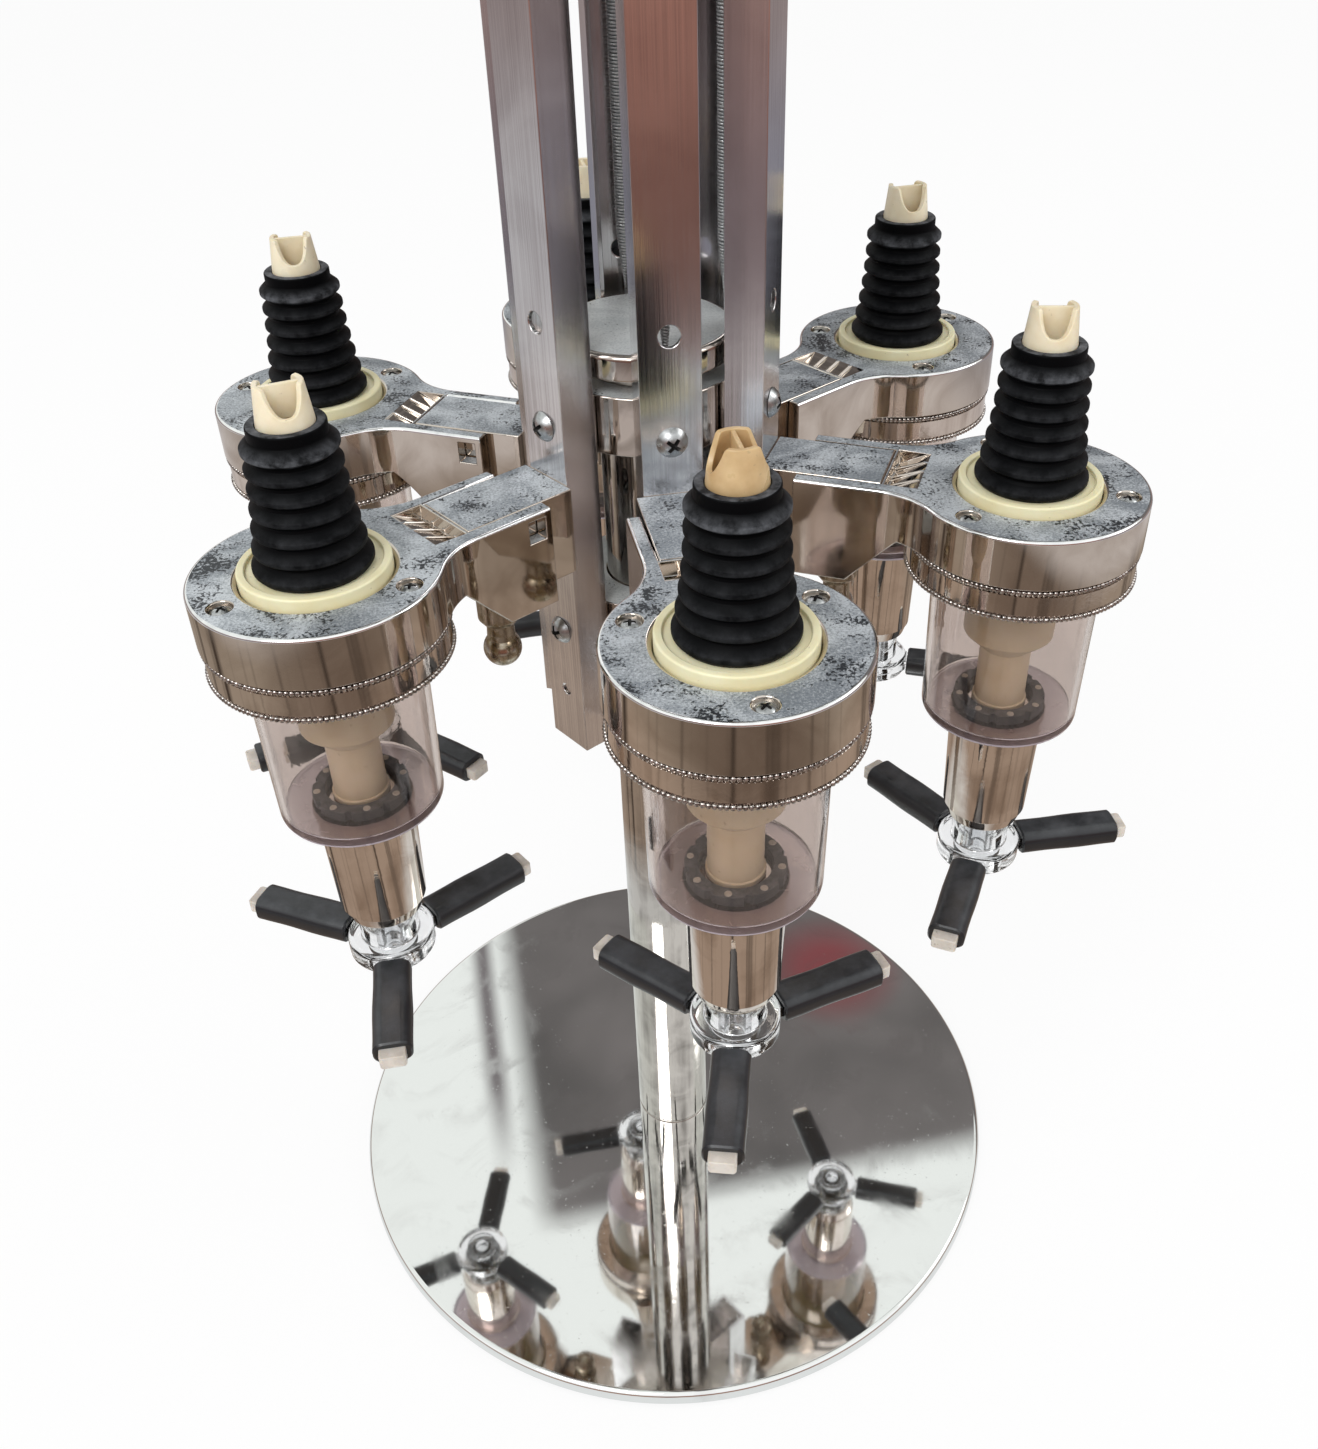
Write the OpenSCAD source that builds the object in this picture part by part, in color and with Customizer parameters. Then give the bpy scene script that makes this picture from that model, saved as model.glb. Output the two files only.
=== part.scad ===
// Rotary liquor dispenser: six spring-held bottles on a turning cage, each over a push-lever measure.
// Units are millimetres. The origin is the middle of the underside, +Z is up, and station 1 faces -Y.

/* [Stand] */
// Diameter of the round base
base_d = 238; // [210:1:280]
// Height of the base's top face above the bar
base_h = 6; // [5.5:0.5:9]
// Thickness of the pressed sheet of the base
base_sheet_t = 1.5; // [1:0.1:1.8]
// Radius rolled on the rim of the base
base_roll_r = 2; // [1.9:0.1:3]
// Thickness of the pad under the base
base_pad_t = 1.2; // [1:0.1:1.5]
// Outer diameter of the pole
pole_d = 26.5; // [24:0.5:30]
// Wall thickness of the pole
pole_t = 1.5; // [1:0.1:2.5]
// Height of the threaded plug in the pole's foot
foot_plug_h = 24; // [22:1:40]
// Diameter of the foot bolt
bolt_d = 8; // [6:0.5:9]
// Length of the foot bolt under its head
bolt_len = 20; // [14:1:21]

/* [Cage] */
// Height of the arms' top faces above the bar
arm_top_z = 289; // [280:1:320]
// Distance from the axis to the outer faces of the rails
rail_face_r = 34.3; // [33:0.1:38]
// Width of a rail
rail_w = 15.5; // [14:0.1:16]
// Depth of a rail's channel section
rail_d = 10.5; // [10:0.1:11.5]
// Wall thickness of a rail
rail_t = 1.3; // [1:0.1:1.8]
// How far the rails reach below the arms' top faces
rail_drop = 86.5; // [80:0.5:100]
// Length of a rail
rail_len = 465.5; // [430:0.5:500]
// Height of a hub
hub_h = 16; // [14:0.5:18]
// Height of the upper hub's screws above the arms' top faces
hub_screw_rise = 14; // [12:0.5:20]
// Depth of the lower hub's screws below the arms' top faces
hub_screw_fall = 47.5; // [44:0.5:60]
// Diameter of the cast cap over the upper hub
cap_d = 47; // [40:0.5:47]
// Thickness of the cast cap's disc
cap_h = 7; // [5:0.5:8]
// Diameter of the cast cap's neck
cap_neck_d = 32; // [31:0.5:36]
// Height of the cast cap's neck
cap_neck_h = 4; // [3.5:0.5:6]

/* [Arm] */
// Distance from the axis to the middle of each measure
station_r = 102; // [98:0.5:112]
// Diameter of an arm's round head
head_d = 60; // [58:0.5:62]
// Height of an arm's round head
head_h = 13.5; // [12:0.5:15]
// Wall thickness of the head's side and top
head_t = 3.2; // [2.5:0.1:3.5]
// Width of the arm
arm_w = 28; // [26:0.5:32]
// Radius of the hollow between the arm and its head
arm_fillet_r = 20; // [14:0.5:22]
// Distance from the axis to the arm's inner end
arm_root_r = 44; // [42:0.5:46]
// Height of the arm at its inner end
arm_root_h = 27.5; // [25:0.5:30]
// Share of the arm, from its inner end to its head, that has a flat underside
arm_flat_share = 0.536; // [0.4:0.004:0.6]
// Thickness of the floor under the fork
fork_floor_t = 3.3; // [2.5:0.1:5]
// Width of a mounting block
block_w = 19.6; // [18:0.1:21]
// Share of the arm, from its inner end to its head, that the mounting block fills
block_share = 0.786; // [0.7:0.002:0.79]
// Length of the recess with the ramp
recess_len = 8.5; // [7:0.5:9]
// Depth of the recess at its deep end
recess_depth = 4; // [3:0.5:5]

/* [Measure] */
// Outer diameter of the knurled ring
ring_d = 58.6; // [58:0.1:60]
// Height of the knurled ring
ring_h = 9.3; // [8.5:0.1:11]
// Thickness of the ring's inward lip
ring_lip_t = 2.1; // [1.5:0.1:2.5]
// Outer diameter of the cup at its top
cup_d = 44; // [40:0.5:46]
// How much narrower the cup is at its floor
cup_taper = 1.6; // [0:0.1:3]
// Wall thickness of the cup
cup_t = 1.5; // [1:0.1:2]
// Thickness of the cup's floor
cup_floor_t = 2; // [1.5:0.1:3]
// Height of the cup
cup_h = 49.3; // [46:0.1:50]
// Diameter of the collar around the stopper
collar_d = 35.8; // [34:0.1:36.5]
// Height of the collar's rim above the arm's top face
collar_rise = 2.5; // [1.5:0.1:4]

/* [Stopper and inlet] */
// Height of the stopper above its shelf
stopper_h = 35.7; // [34:0.1:40]
// Diameter of the lowest rib
stopper_foot_d = 28.1; // [26:0.1:30]
// Diameter of the uppermost rib
stopper_tip_d = 22; // [19:0.1:23]
// Number of ribs
stopper_ribs = 7; // [5:1:8]
// Depth of the grooves between the ribs
stopper_groove = 1.7; // [1:0.1:2.2]
// Outer diameter of the inlet tip
inlet_d = 13; // [12:0.1:13.4]
// Wall thickness of the inlet tip
inlet_t = 1.3; // [1:0.1:1.6]
// Height of the inlet tip above the stopper
inlet_rise = 9.1; // [8:0.1:14]

/* [Valve] */
// How far the valve lifts
lift = 8; // [5:0.5:8]
// Diameter of the stem's head
stem_head_d = 24; // [20:0.5:28]
// Height of the stem's head
stem_head_h = 18; // [14:0.5:18]
// Diameter of the stem in the cup
stem_d = 13.8; // [12:0.1:14.5]
// Diameter of the stem's rod
rod_d = 10; // [9:0.1:10.4]
// Diameter of the rod where the lever turns on it
spindle_d = 8.8; // [8:0.1:8.8]
// Diameter of the outlet through the rod
outlet_d = 6; // [4:0.1:6]
// Outer diameter of the barrel at its top
barrel_d = 26.4; // [25:0.1:28]
// Outer diameter of the barrel near its foot
barrel_foot_d = 23.6; // [22.5:0.1:24.5]
// Length of the barrel below the cup
barrel_h = 39.3; // [38:0.1:44]

/* [Lever] */
// Diameter of the lever's flange
lever_flange_d = 24.2; // [22:0.1:25]
// Thickness of the lever's flange
lever_flange_t = 6.5; // [6:0.1:8]
// Diameter of the lever's boss inside the barrel
lever_boss_d = 16.6; // [15:0.1:16.8]
// Gap that the boss bridges between the barrel and the flange
lever_gap = 10; // [9:0.5:14]
// Distance from the lever's axis to the tips of its bars
lever_r = 46; // [40:0.5:47]
// Width of a lever bar
bar_w = 7; // [6:0.1:8]
// Thickness of a lever bar
bar_h = 4; // [3:0.1:4.4]
// Width of a rubber sleeve
sleeve_w = 10.5; // [9.8:0.1:12]
// Thickness of a rubber sleeve
sleeve_h = 7.6; // [7:0.1:8]

/* [Bottle clamp] */
// Height of a resting clamp above the arms' top faces
clamp_rest = 203; // [180:1:220]
// Height of the carriage that slides on the rail
carriage_h = 34; // [28:1:40]
// Wall thickness of the carriage at the rail's sides and back
carriage_t = 2.5; // [2:0.1:2.6]
// Wall thickness of the carriage in front of the rail
carriage_front_t = 5; // [4:0.1:7]
// Width of the clamp's arm
clamp_arm_w = 14; // [12:0.5:18]
// Thickness of the clamp's arm at its cup
clamp_arm_t = 8; // [6:0.5:10]
// Outer diameter of the clamp's cup
clamp_cup_d = 60; // [50:1:70]
// Depth of the clamp's cup inside
clamp_cup_depth = 10; // [6:0.5:14]
// Wall thickness of the clamp's cup
clamp_cup_t = 2.5; // [2:0.1:4]
// Outer diameter of a tension spring
spring_d = 4; // [3.6:0.1:4.2]
// Diameter of the spring's wire
wire_d = 0.9; // [0.7:0.1:1]
// Diameter of the cover plate on top of the cage
top_plate_d = 74; // [70:1:84]
// Diameter of the lifting knob
knob_d = 24; // [20:1:32]
// Height of the lifting knob
knob_h = 28; // [24:1:34]

/* [Hidden] */
$fn = 64;
// Overrun of every cut past the face it starts from
cut = 1;
// Radial gap of a bearing or a guide
run_gap = 0.08;
// Gap between pieces that are pushed or screwed together
fit_gap = 0.1;
// Gap between pieces that slide or seat loosely
loose_gap = 0.3;

// Stations around the cage
stations = 6;
station_step = 360 / stations;
station_start = -90;
// Rest turn of each lever from straight outwards, and of each inlet tip in the whole model
lever_turns = [102.5, 26.4, 65, 90, 43, 58.3];
inlet_turns = [-136, -105, -86, 0, -88, -78];

// Stand
base_r = base_d / 2;
pole_r = pole_d / 2;
pole_bore_r = pole_r - pole_t;
bolt_r = bolt_d / 2;
bolt_head_ratio = 0.94;
bolt_head_r = bolt_d * bolt_head_ratio;
base_pad_inset = 5;
base_weight_inset = 7;
base_rim_z = 1;
base_weight_t = base_h - base_sheet_t - base_pad_t;
bolt_head_h = base_weight_t - loose_gap;
weight_hole_gap = 1;
weight_hole_r = bolt_head_r + weight_hole_gap;

// Cage heights and radii
rail_z = arm_top_z - rail_drop;
rail_top_z = rail_z + rail_len;
rail_in_r = rail_face_r - rail_d;
rail_web_r = rail_face_r - rail_t;
lug_w = rail_w - 2 * rail_t - 2 * loose_gap;
hub_core_r = rail_in_r - loose_gap;
hub_screw_drop = 7;
upper_screw_z = arm_top_z + hub_screw_rise;
lower_screw_z = arm_top_z - hub_screw_fall;
upper_hub_top = upper_screw_z + hub_screw_drop;
pole_recess = 3;
pole_top_z = upper_hub_top - pole_recess;
top_plate_t = 4;
top_plate_roll_r = 1.5;

// Pivot between the pole and the cap
pivot_plug_h = 16;
pivot_flange_t = 1.5;
pivot_r = 4;
cap_roll_r = 1.5;
cap_roof_drop = 0.9;
cap_cavity_h = cap_neck_h - cap_roof_drop;
cap_pole_gap = 0.75;
cap_cavity_r = pole_r + cap_pole_gap;
pivot_tip_z = upper_hub_top + cap_cavity_h - fit_gap;

// Screws
rail_screw_head_r = 4;
rail_screw_head_h = 2.6;
rail_screw_r = 1.95;
rail_screw_len = 12;
head_screw_head_r = 2.8;
head_screw_head_h = 1.5;
head_screw_r = 1.45;
head_screw_len = 10;
head_screw_ring_r = 24.3;
head_screw_sink = 1.6;
head_screws_per_head = 3;
top_screw_drop = rail_screw_head_r + 2 * loose_gap;
top_screw_z = rail_top_z - top_screw_drop;
top_lug_h = 2 * top_screw_drop;
block_screw_drop = 6;
block_screw_pitch = 12;
anchor_hole_rise = 41;
anchor_hole_z = arm_top_z + anchor_hole_rise;
anchor_hole_r = 2.75;
foot_hole_drop = 68;
foot_hole_z = arm_top_z - foot_hole_drop;
foot_hole_r = 1.75;

// Arm
head_r = head_d / 2;
head_z = arm_top_z - head_h;
head_bore_r = head_r - head_t;
arm_root_z = arm_top_z - arm_root_h;
arm_rise_end = station_r - head_r;
arm_reach = arm_rise_end - arm_root_r;
arm_flat_end = arm_root_r + arm_reach * arm_flat_share;
block_end_r = arm_root_r + arm_reach * block_share;
fillet_y = arm_w / 2 + arm_fillet_r;
fillet_x = station_r - sqrt(pow(head_r + arm_fillet_r, 2) - pow(fillet_y, 2));
fork_w = block_w + 2 * loose_gap;
fork_end_r = block_end_r + fit_gap;
recess_wall_t = 0.9;
recess_start_r = fork_end_r + recess_wall_t;
recess_rib_t = 0.8;
recess_rib_h = 1.2;
recess_ribs = 3;
window_w = 5;
window_h = 6;
window_drop = 2;
window_inset = 2;
collar_bore_r = collar_d / 2 + loose_gap;
collar_chamfer = 0.9;
knob_screw_r = 2.4;
knob_screw_share = 0.357;
knob_screw_x = arm_root_r + arm_reach * knob_screw_share;
knob_screw_len = 14;
knob_collar_r = 5.65;
knob_collar_h = 9;
knob_collar_taper = 2.6;
knob_neck_r = 3.75;
knob_ball_r = 5.2;
knob_drop = 16.5;

// Measure
skirt_r = head_bore_r - fit_gap;
ring_r = ring_d / 2;
ring_top_z = head_z - 2 * fit_gap;
ring_z = ring_top_z - ring_h;
ring_bore_r = skirt_r + fit_gap;
ring_bead_r = 0.45;
ring_bead_inset = 0.8;
cup_flange_t = 1.5;
cup_r = cup_d / 2;
cup_lip_r = cup_r + 2 * loose_gap;
cup_top_z = ring_z + ring_lip_t + cup_flange_t;
cup_z = cup_top_z - cup_h;
cup_foot_r = cup_r - cup_taper / 2;
cup_roll_r = 1.6;
cup_hole_r = 9.2;
collar_r = collar_d / 2;
collar_rim_t = 2;
collar_step = 1;
shelf_z = arm_top_z + collar_rise - collar_step;
skirt_h = 8.4;
head_floor_z = cup_top_z + skirt_h;
head_plate_z = arm_top_z - head_t - loose_gap;
inlet_seat_drop = 8;
inlet_seat_z = arm_top_z - inlet_seat_drop;
nozzle_r = 8;
seal_r = 12.5;
seal_h = 2.9;
seal_lugs = 8;
seal_lug_r = 0.9;

// Stopper and inlet
stopper_top_z = shelf_z + stopper_h;
rib_top_drop = 5.2;
rib_foot_rise = 1.7;
rib_pitch = (stopper_h - rib_top_drop - rib_foot_rise) / (stopper_ribs - 1);
stopper_neck_r = 8.9;
inlet_r = inlet_d / 2;
inlet_top_z = stopper_top_z + inlet_rise;
inlet_cone_h = 9;
inlet_draw_in = 0.8;
inlet_cut_r = 4.4;
inlet_cut_depth = 9;
inlet_web_t = 1.1;

// Valve
neck_r = cup_hole_r - 2 * fit_gap;
neck_top_z = cup_z + cup_floor_t + loose_gap;
barrel_z = cup_z - barrel_h;
guide_len = 8.6;
guide_z = neck_top_z - guide_len;
barrel_bore_r = 8.7;
barrel_cone_h = 3.7;
barrel_tip_draw_in = 1.5;
barrel_collar_h = 2.8;
barrel_groove = 0.35;
stem_foot_z = neck_top_z + loose_gap;
stem_foot_h = 1.6;
stem_foot_flare = 0.5;
stem_neck_h = 16.5;
stem_cone_h = 5;
stem_head_z = stem_foot_z + stem_foot_h + stem_neck_h + stem_cone_h;
stem_head_roll_r = 2.5;
stem_top_z = stem_head_z + stem_head_h;
nozzle_z = stem_top_z + lift + loose_gap;
boss_insert = 2;
boss_top_z = barrel_z + boss_insert;
spindle_top_z = boss_top_z + 2 * fit_gap;
lever_top_z = barrel_z - lever_gap;
lever_z = lever_top_z - lever_flange_t;
stem_end_z = lever_z - 2 * fit_gap;
stem_end_r = 7;
stem_end_h = 1.8;
port_r = 1.5;
port_z = guide_z + guide_len / 2;
return_spring_r = 7.6;
return_spring_t = 1;

// Lever
lever_flange_r = lever_flange_d / 2;
lever_boss_r = lever_boss_d / 2;
lever_bars = 3;
bar_z = lever_z + lever_flange_t / 2;
bar_chamfer = 0.6;
lever_fillet_r = 1.5;
sleeve_start_r = lever_flange_r + 2 * loose_gap;
bar_tip_len = 3.3;
sleeve_end_r = lever_r - bar_tip_len;
sleeve_round_r = 3;

// Bottle clamp
clamp_z = arm_top_z + clamp_rest;
carriage_in_r = rail_in_r - loose_gap - carriage_t;
carriage_out_r = rail_face_r + loose_gap + carriage_front_t;
carriage_w = rail_w + 2 * loose_gap + 2 * carriage_t;
carriage_roll_r = 2;
tongue_side_gap = 1;
tongue_w = lug_w - 2 * tongue_side_gap;
tongue_web_gap = 2;
tongue_r = rail_web_r - tongue_web_gap;
tongue_rise = 3;
tongue_z = clamp_z + tongue_rise;
tongue_h = 20;
clamp_cup_r = clamp_cup_d / 2;
clamp_cup_rise = 5.5;
clamp_cup_z = clamp_z + clamp_cup_rise;
clamp_plate_z = clamp_cup_z + clamp_cup_depth;
clamp_arm_z = clamp_plate_z + clamp_cup_t;
clamp_web_rise = 2;
clamp_web_z = clamp_z + clamp_web_rise;
spring_x = 28.5;
spring_r = spring_d / 2;
wire_r = wire_d / 2;
coil_r = spring_r - wire_r;
spring_hole_r = wire_r + 2 * loose_gap;
spring_hook = 4;
spring_tail = 12;
spring_curls = 14;
rings_per_curl = 8;
wire_sides = 6;
knob_stud_r = 3;
knob_foot_r = 7;
knob_waist_r = 5;
knob_foot_h = 4;
knob_waist_h = 8;

// Shared placing and shapes

// Turns a piece to a station: +X then points straight outwards
module at_station(i) {
  rotate([0, 0, station_start + station_step * (i - 1)]) children();
}

module at_all_stations() {
  for (i = [1 : stations]) at_station(i) children();
}

// The middle of a station's measure
module at_measure(i) {
  at_station(i) translate([station_r, 0, 0]) children();
}

module at_all_measures() {
  for (i = [1 : stations]) at_measure(i) children();
}

// A flat rectangle with true round corners
module round_rect(size, r) {
  translate([r, 0]) square([size[0] - 2 * r, size[1]]);
  translate([0, r]) square([size[0], size[1] - 2 * r]);
  for (x = [r, size[0] - r], y = [r, size[1] - r]) translate([x, y]) circle(r);
}

// A revolved wall: inner radius, outer radius, bottom and top
module tube(r_in, r_out, z_low, z_high) {
  rotate_extrude() translate([r_in, z_low]) square([r_out - r_in, z_high - z_low]);
}

// A side profile drawn in X and Z, as thick as w and centred on Y
module side_plate(w) {
  rotate([90, 0, 0]) translate([0, 0, -w / 2]) linear_extrude(w) children();
}

// A hole along X through a wall whose outer face is at radius r
module hole_along_x(r_face, z, r, depth) {
  translate([r_face + cut, 0, z]) rotate([0, -90, 0]) cylinder(r = r, h = depth + cut);
}

// A screw whose head is a cap of a ball, with the head up and its seat at zero
module dome_screw(head_r, head_h, shank_r, len) {
  dome_r = (pow(head_r, 2) + pow(head_h, 2)) / (2 * head_h);
  rotate_extrude() {
    intersection() {
      square([head_r, head_h]);
      translate([0, head_h - dome_r]) circle(dome_r);
    }
    translate([0, -len]) square([shank_r, len]);
  }
}

// Stand

module base_disc() {
  top_r = base_r - base_roll_r;
  hole_r = bolt_r + fit_gap;
  color("silver")
  rotate_extrude() {
    translate([hole_r, base_h - base_sheet_t]) square([top_r - hole_r, base_sheet_t]);
    translate([base_r - base_sheet_t, base_rim_z])
      square([base_sheet_t, base_h - base_roll_r - base_rim_z]);
    translate([top_r, base_h - base_roll_r])
      intersection() {
        difference() {
          circle(base_roll_r);
          circle(base_roll_r - base_sheet_t);
        }
        square(base_roll_r);
      }
  }
}

module base_weight() {
  color("dimgray")
  tube(weight_hole_r, base_r - base_weight_inset, base_pad_t, base_pad_t + base_weight_t);
}

module base_pad() {
  color("black") cylinder(r = base_r - base_pad_inset, h = base_pad_t);
}

module pole() {
  color("lightgray") {
    tube(pole_bore_r, pole_r, base_h, pole_top_z);
    tube(bolt_r + fit_gap, pole_bore_r, base_h, base_h + foot_plug_h);
  }
}

module base_bolt() {
  seat_z = base_h - base_sheet_t;
  color("gray") {
    translate([0, 0, seat_z - bolt_head_h]) cylinder(r = bolt_head_r, h = bolt_head_h, $fn = 6);
    translate([0, 0, seat_z]) cylinder(r = bolt_r, h = bolt_len);
  }
}

module pivot_plug() {
  flange_z = pole_top_z + pivot_flange_t;
  color("gray")
  rotate_extrude() {
    translate([0, pole_top_z - pivot_plug_h]) square([pole_bore_r - fit_gap, pivot_plug_h]);
    translate([0, pole_top_z]) square([pole_r - loose_gap, pivot_flange_t]);
    translate([0, flange_z]) square([pivot_r, pivot_tip_z - pivot_r - flange_z]);
    translate([0, pivot_tip_z - pivot_r]) intersection() {
      circle(pivot_r);
      square(pivot_r);
    }
  }
}

// Cage

// A hub is a round core with a lug into each rail, screwed through the rails' webs
module hub(screw_z) {
  foot_z = screw_z + hub_screw_drop - hub_h;
  difference() {
    union() {
      translate([0, 0, foot_z]) cylinder(r = hub_core_r, h = hub_h);
      at_all_stations()
        translate([0, -lug_w / 2, foot_z]) cube([rail_web_r, lug_w, hub_h]);
    }
    translate([0, 0, foot_z - cut]) cylinder(r = pole_r + run_gap, h = hub_h + 2 * cut);
    at_all_stations()
      hole_along_x(rail_web_r, screw_z, rail_screw_r + fit_gap, rail_screw_len - rail_t);
  }
}

module upper_hub() {
  color("darkgray")
  difference() {
    hub(upper_screw_z);
    at_all_stations()
      translate([spring_x, 0, upper_hub_top - spring_hook])
        cylinder(r = spring_hole_r, h = spring_hook + cut);
  }
}

module lower_hub() {
  color("darkgray") hub(lower_screw_z);
}

module hub_cap() {
  cap_r = cap_d / 2;
  disc_z = upper_hub_top + cap_neck_h;
  color("lightslategray")
  rotate_extrude() difference() {
    union() {
      translate([0, upper_hub_top]) square([cap_neck_d / 2, cap_neck_h]);
      intersection() {
        translate([-cap_r, disc_z]) round_rect([cap_d, cap_h], cap_roll_r);
        translate([0, disc_z]) square([cap_r, cap_h]);
      }
    }
    translate([0, upper_hub_top]) square([cap_cavity_r, cap_cavity_h]);
  }
}

// One rail at its station: a channel that is open towards the axis
module rail() {
  difference() {
    translate([rail_in_r, -rail_w / 2, rail_z]) cube([rail_d, rail_w, rail_len]);
    translate([rail_in_r - cut, rail_t - rail_w / 2, rail_z - cut])
      cube([rail_d - rail_t + cut, rail_w - 2 * rail_t, rail_len + 2 * cut]);
    for (z = [upper_screw_z, lower_screw_z, top_screw_z])
      hole_along_x(rail_face_r, z, rail_screw_r + 2 * fit_gap, rail_t + cut);
    for (k = [0, 1])
      hole_along_x(rail_face_r, block_screw_z(k), rail_screw_r + 2 * fit_gap, rail_t + cut);
    hole_along_x(rail_face_r, anchor_hole_z, anchor_hole_r, rail_t + cut);
    hole_along_x(rail_face_r, foot_hole_z, foot_hole_r, rail_t + cut);
  }
}

function block_screw_z(k) = arm_top_z - block_screw_drop - block_screw_pitch * k;

module rails() {
  color("gainsboro") at_all_stations() rail();
}

module top_plate() {
  plate_r = top_plate_d / 2;
  color("silver")
  difference() {
    union() {
      translate([0, 0, rail_top_z - top_lug_h]) cylinder(r = hub_core_r, h = top_lug_h);
      at_all_stations()
        translate([0, -lug_w / 2, rail_top_z - top_lug_h]) cube([rail_web_r, lug_w, top_lug_h]);
      rotate_extrude() intersection() {
        translate([-plate_r, rail_top_z])
          round_rect([top_plate_d, top_plate_t], top_plate_roll_r);
        translate([0, rail_top_z]) square([plate_r, top_plate_t]);
      }
    }
    at_all_stations()
      hole_along_x(rail_web_r, top_screw_z, rail_screw_r + fit_gap, rail_screw_len - rail_t);
    translate([0, 0, rail_top_z - top_lug_h - cut])
      cylinder(r = knob_stud_r + fit_gap, h = top_lug_h + top_plate_t + 2 * cut);
  }
}

module lift_knob() {
  foot_z = rail_top_z + top_plate_t;
  ball_r = knob_d / 2;
  ball_z = foot_z + knob_h - ball_r;
  color("black")
  rotate_extrude() {
    translate([0, rail_top_z - top_lug_h]) square([knob_stud_r, top_lug_h + top_plate_t]);
    translate([0, foot_z]) square([knob_foot_r, knob_foot_h]);
    translate([0, foot_z]) square([knob_waist_r, ball_z - foot_z]);
    translate([0, ball_z]) intersection() {
      circle(ball_r);
      translate([0, -ball_r]) square([ball_r, 2 * ball_r]);
    }
  }
}

// Arm and mounting block

// The arm seen from above: a bar that flows into its round head
module arm_plan() {
  translate([arm_root_r, -arm_w / 2]) square([station_r - arm_root_r, arm_w]);
  translate([station_r, 0]) circle(head_r);
  difference() {
    polygon([[fillet_x, -fillet_y], [fillet_x, fillet_y], [station_r, 0]]);
    for (side = [-1, 1]) translate([fillet_x, side * fillet_y]) circle(arm_fillet_r);
  }
}

// The arm seen from the side: deep at the fork, rising to the head's height
module arm_side() {
  polygon([
    [arm_root_r, arm_root_z],
    [arm_flat_end, arm_root_z],
    [arm_rise_end, head_z],
    [station_r + head_r, head_z],
    [station_r + head_r, arm_top_z],
    [arm_root_r, arm_top_z]
  ]);
}

// The fork's hollow from the side, from radius r_low to r_high and up to z_high
module fork_side(r_low, r_high, z_high) {
  slope = (head_z - arm_root_z) / (arm_rise_end - arm_flat_end);
  floor_z = arm_root_z + fork_floor_t;
  polygon([
    [r_low, floor_z],
    [arm_flat_end, floor_z],
    [r_high, floor_z + slope * (r_high - arm_flat_end)],
    [r_high, z_high],
    [r_low, z_high]
  ]);
}

// The ramp behind the fork, cut down from the top face
module recess_side() {
  end_r = recess_start_r + recess_len;
  polygon([
    [recess_start_r, arm_top_z - recess_depth],
    [end_r, arm_top_z],
    [end_r, arm_top_z + cut],
    [recess_start_r, arm_top_z + cut]
  ]);
}

module recess_rib(y) {
  end_r = recess_start_r + recess_len;
  translate([0, y, 0]) side_plate(recess_rib_t) polygon([
    [recess_start_r, arm_top_z - recess_depth],
    [end_r, arm_top_z],
    [end_r - recess_rib_h, arm_top_z],
    [recess_start_r, arm_top_z - recess_depth + recess_rib_h]
  ]);
}

module arm() {
  color("silver") {
    difference() {
      intersection() {
        translate([0, 0, arm_root_z]) linear_extrude(arm_root_h) arm_plan();
        side_plate(2 * head_r) arm_side();
      }
      side_plate(fork_w) fork_side(arm_root_r - cut, fork_end_r, arm_top_z + cut);
      side_plate(fork_w) recess_side();
      // Window in the tip of one cheek
      translate([arm_root_r + window_inset, 0, arm_top_z - window_drop - window_h])
        cube([window_w, arm_w, window_h]);
      // Clamp screw through the fork's floor
      translate([knob_screw_x, 0, arm_root_z - cut])
        cylinder(r = knob_screw_r + 2 * fit_gap, h = fork_floor_t + 2 * cut);
      translate([station_r, 0, 0]) {
        // Hollow of the head and the collar's bore with its chamfer
        translate([0, 0, head_z - cut])
          cylinder(r = head_bore_r, h = head_h - head_t + cut);
        translate([0, 0, head_z]) cylinder(r = collar_bore_r, h = head_h + cut);
        translate([0, 0, arm_top_z - collar_chamfer]) cylinder(
          r1 = collar_bore_r, r2 = collar_bore_r + collar_chamfer, h = collar_chamfer
        );
        for (k = [1 : head_screws_per_head])
          rotate([0, 0, k * 360 / head_screws_per_head]) translate([head_screw_ring_r, 0, 0]) {
            translate([0, 0, arm_top_z - head_screw_sink])
              cylinder(r = head_screw_head_r + fit_gap, h = head_screw_sink + cut);
            translate([0, 0, head_z]) cylinder(r = head_screw_r + fit_gap, h = head_h);
          }
      }
    }
    for (k = [1 : recess_ribs])
      recess_rib(fork_w * (k / (recess_ribs + 1) - 0.5));
  }
}

module mounting_block() {
  difference() {
    side_plate(block_w) fork_side(rail_face_r, block_end_r, arm_top_z);
    for (k = [0, 1])
      translate([rail_face_r - cut, 0, block_screw_z(k)]) rotate([0, 90, 0])
        cylinder(r = rail_screw_r + fit_gap, h = rail_screw_len - rail_t + cut);
    translate([knob_screw_x, 0, arm_root_z])
      cylinder(r = knob_screw_r + fit_gap, h = knob_screw_len);
  }
}

module mounting_blocks() {
  color("silver") at_all_stations() mounting_block();
}

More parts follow.
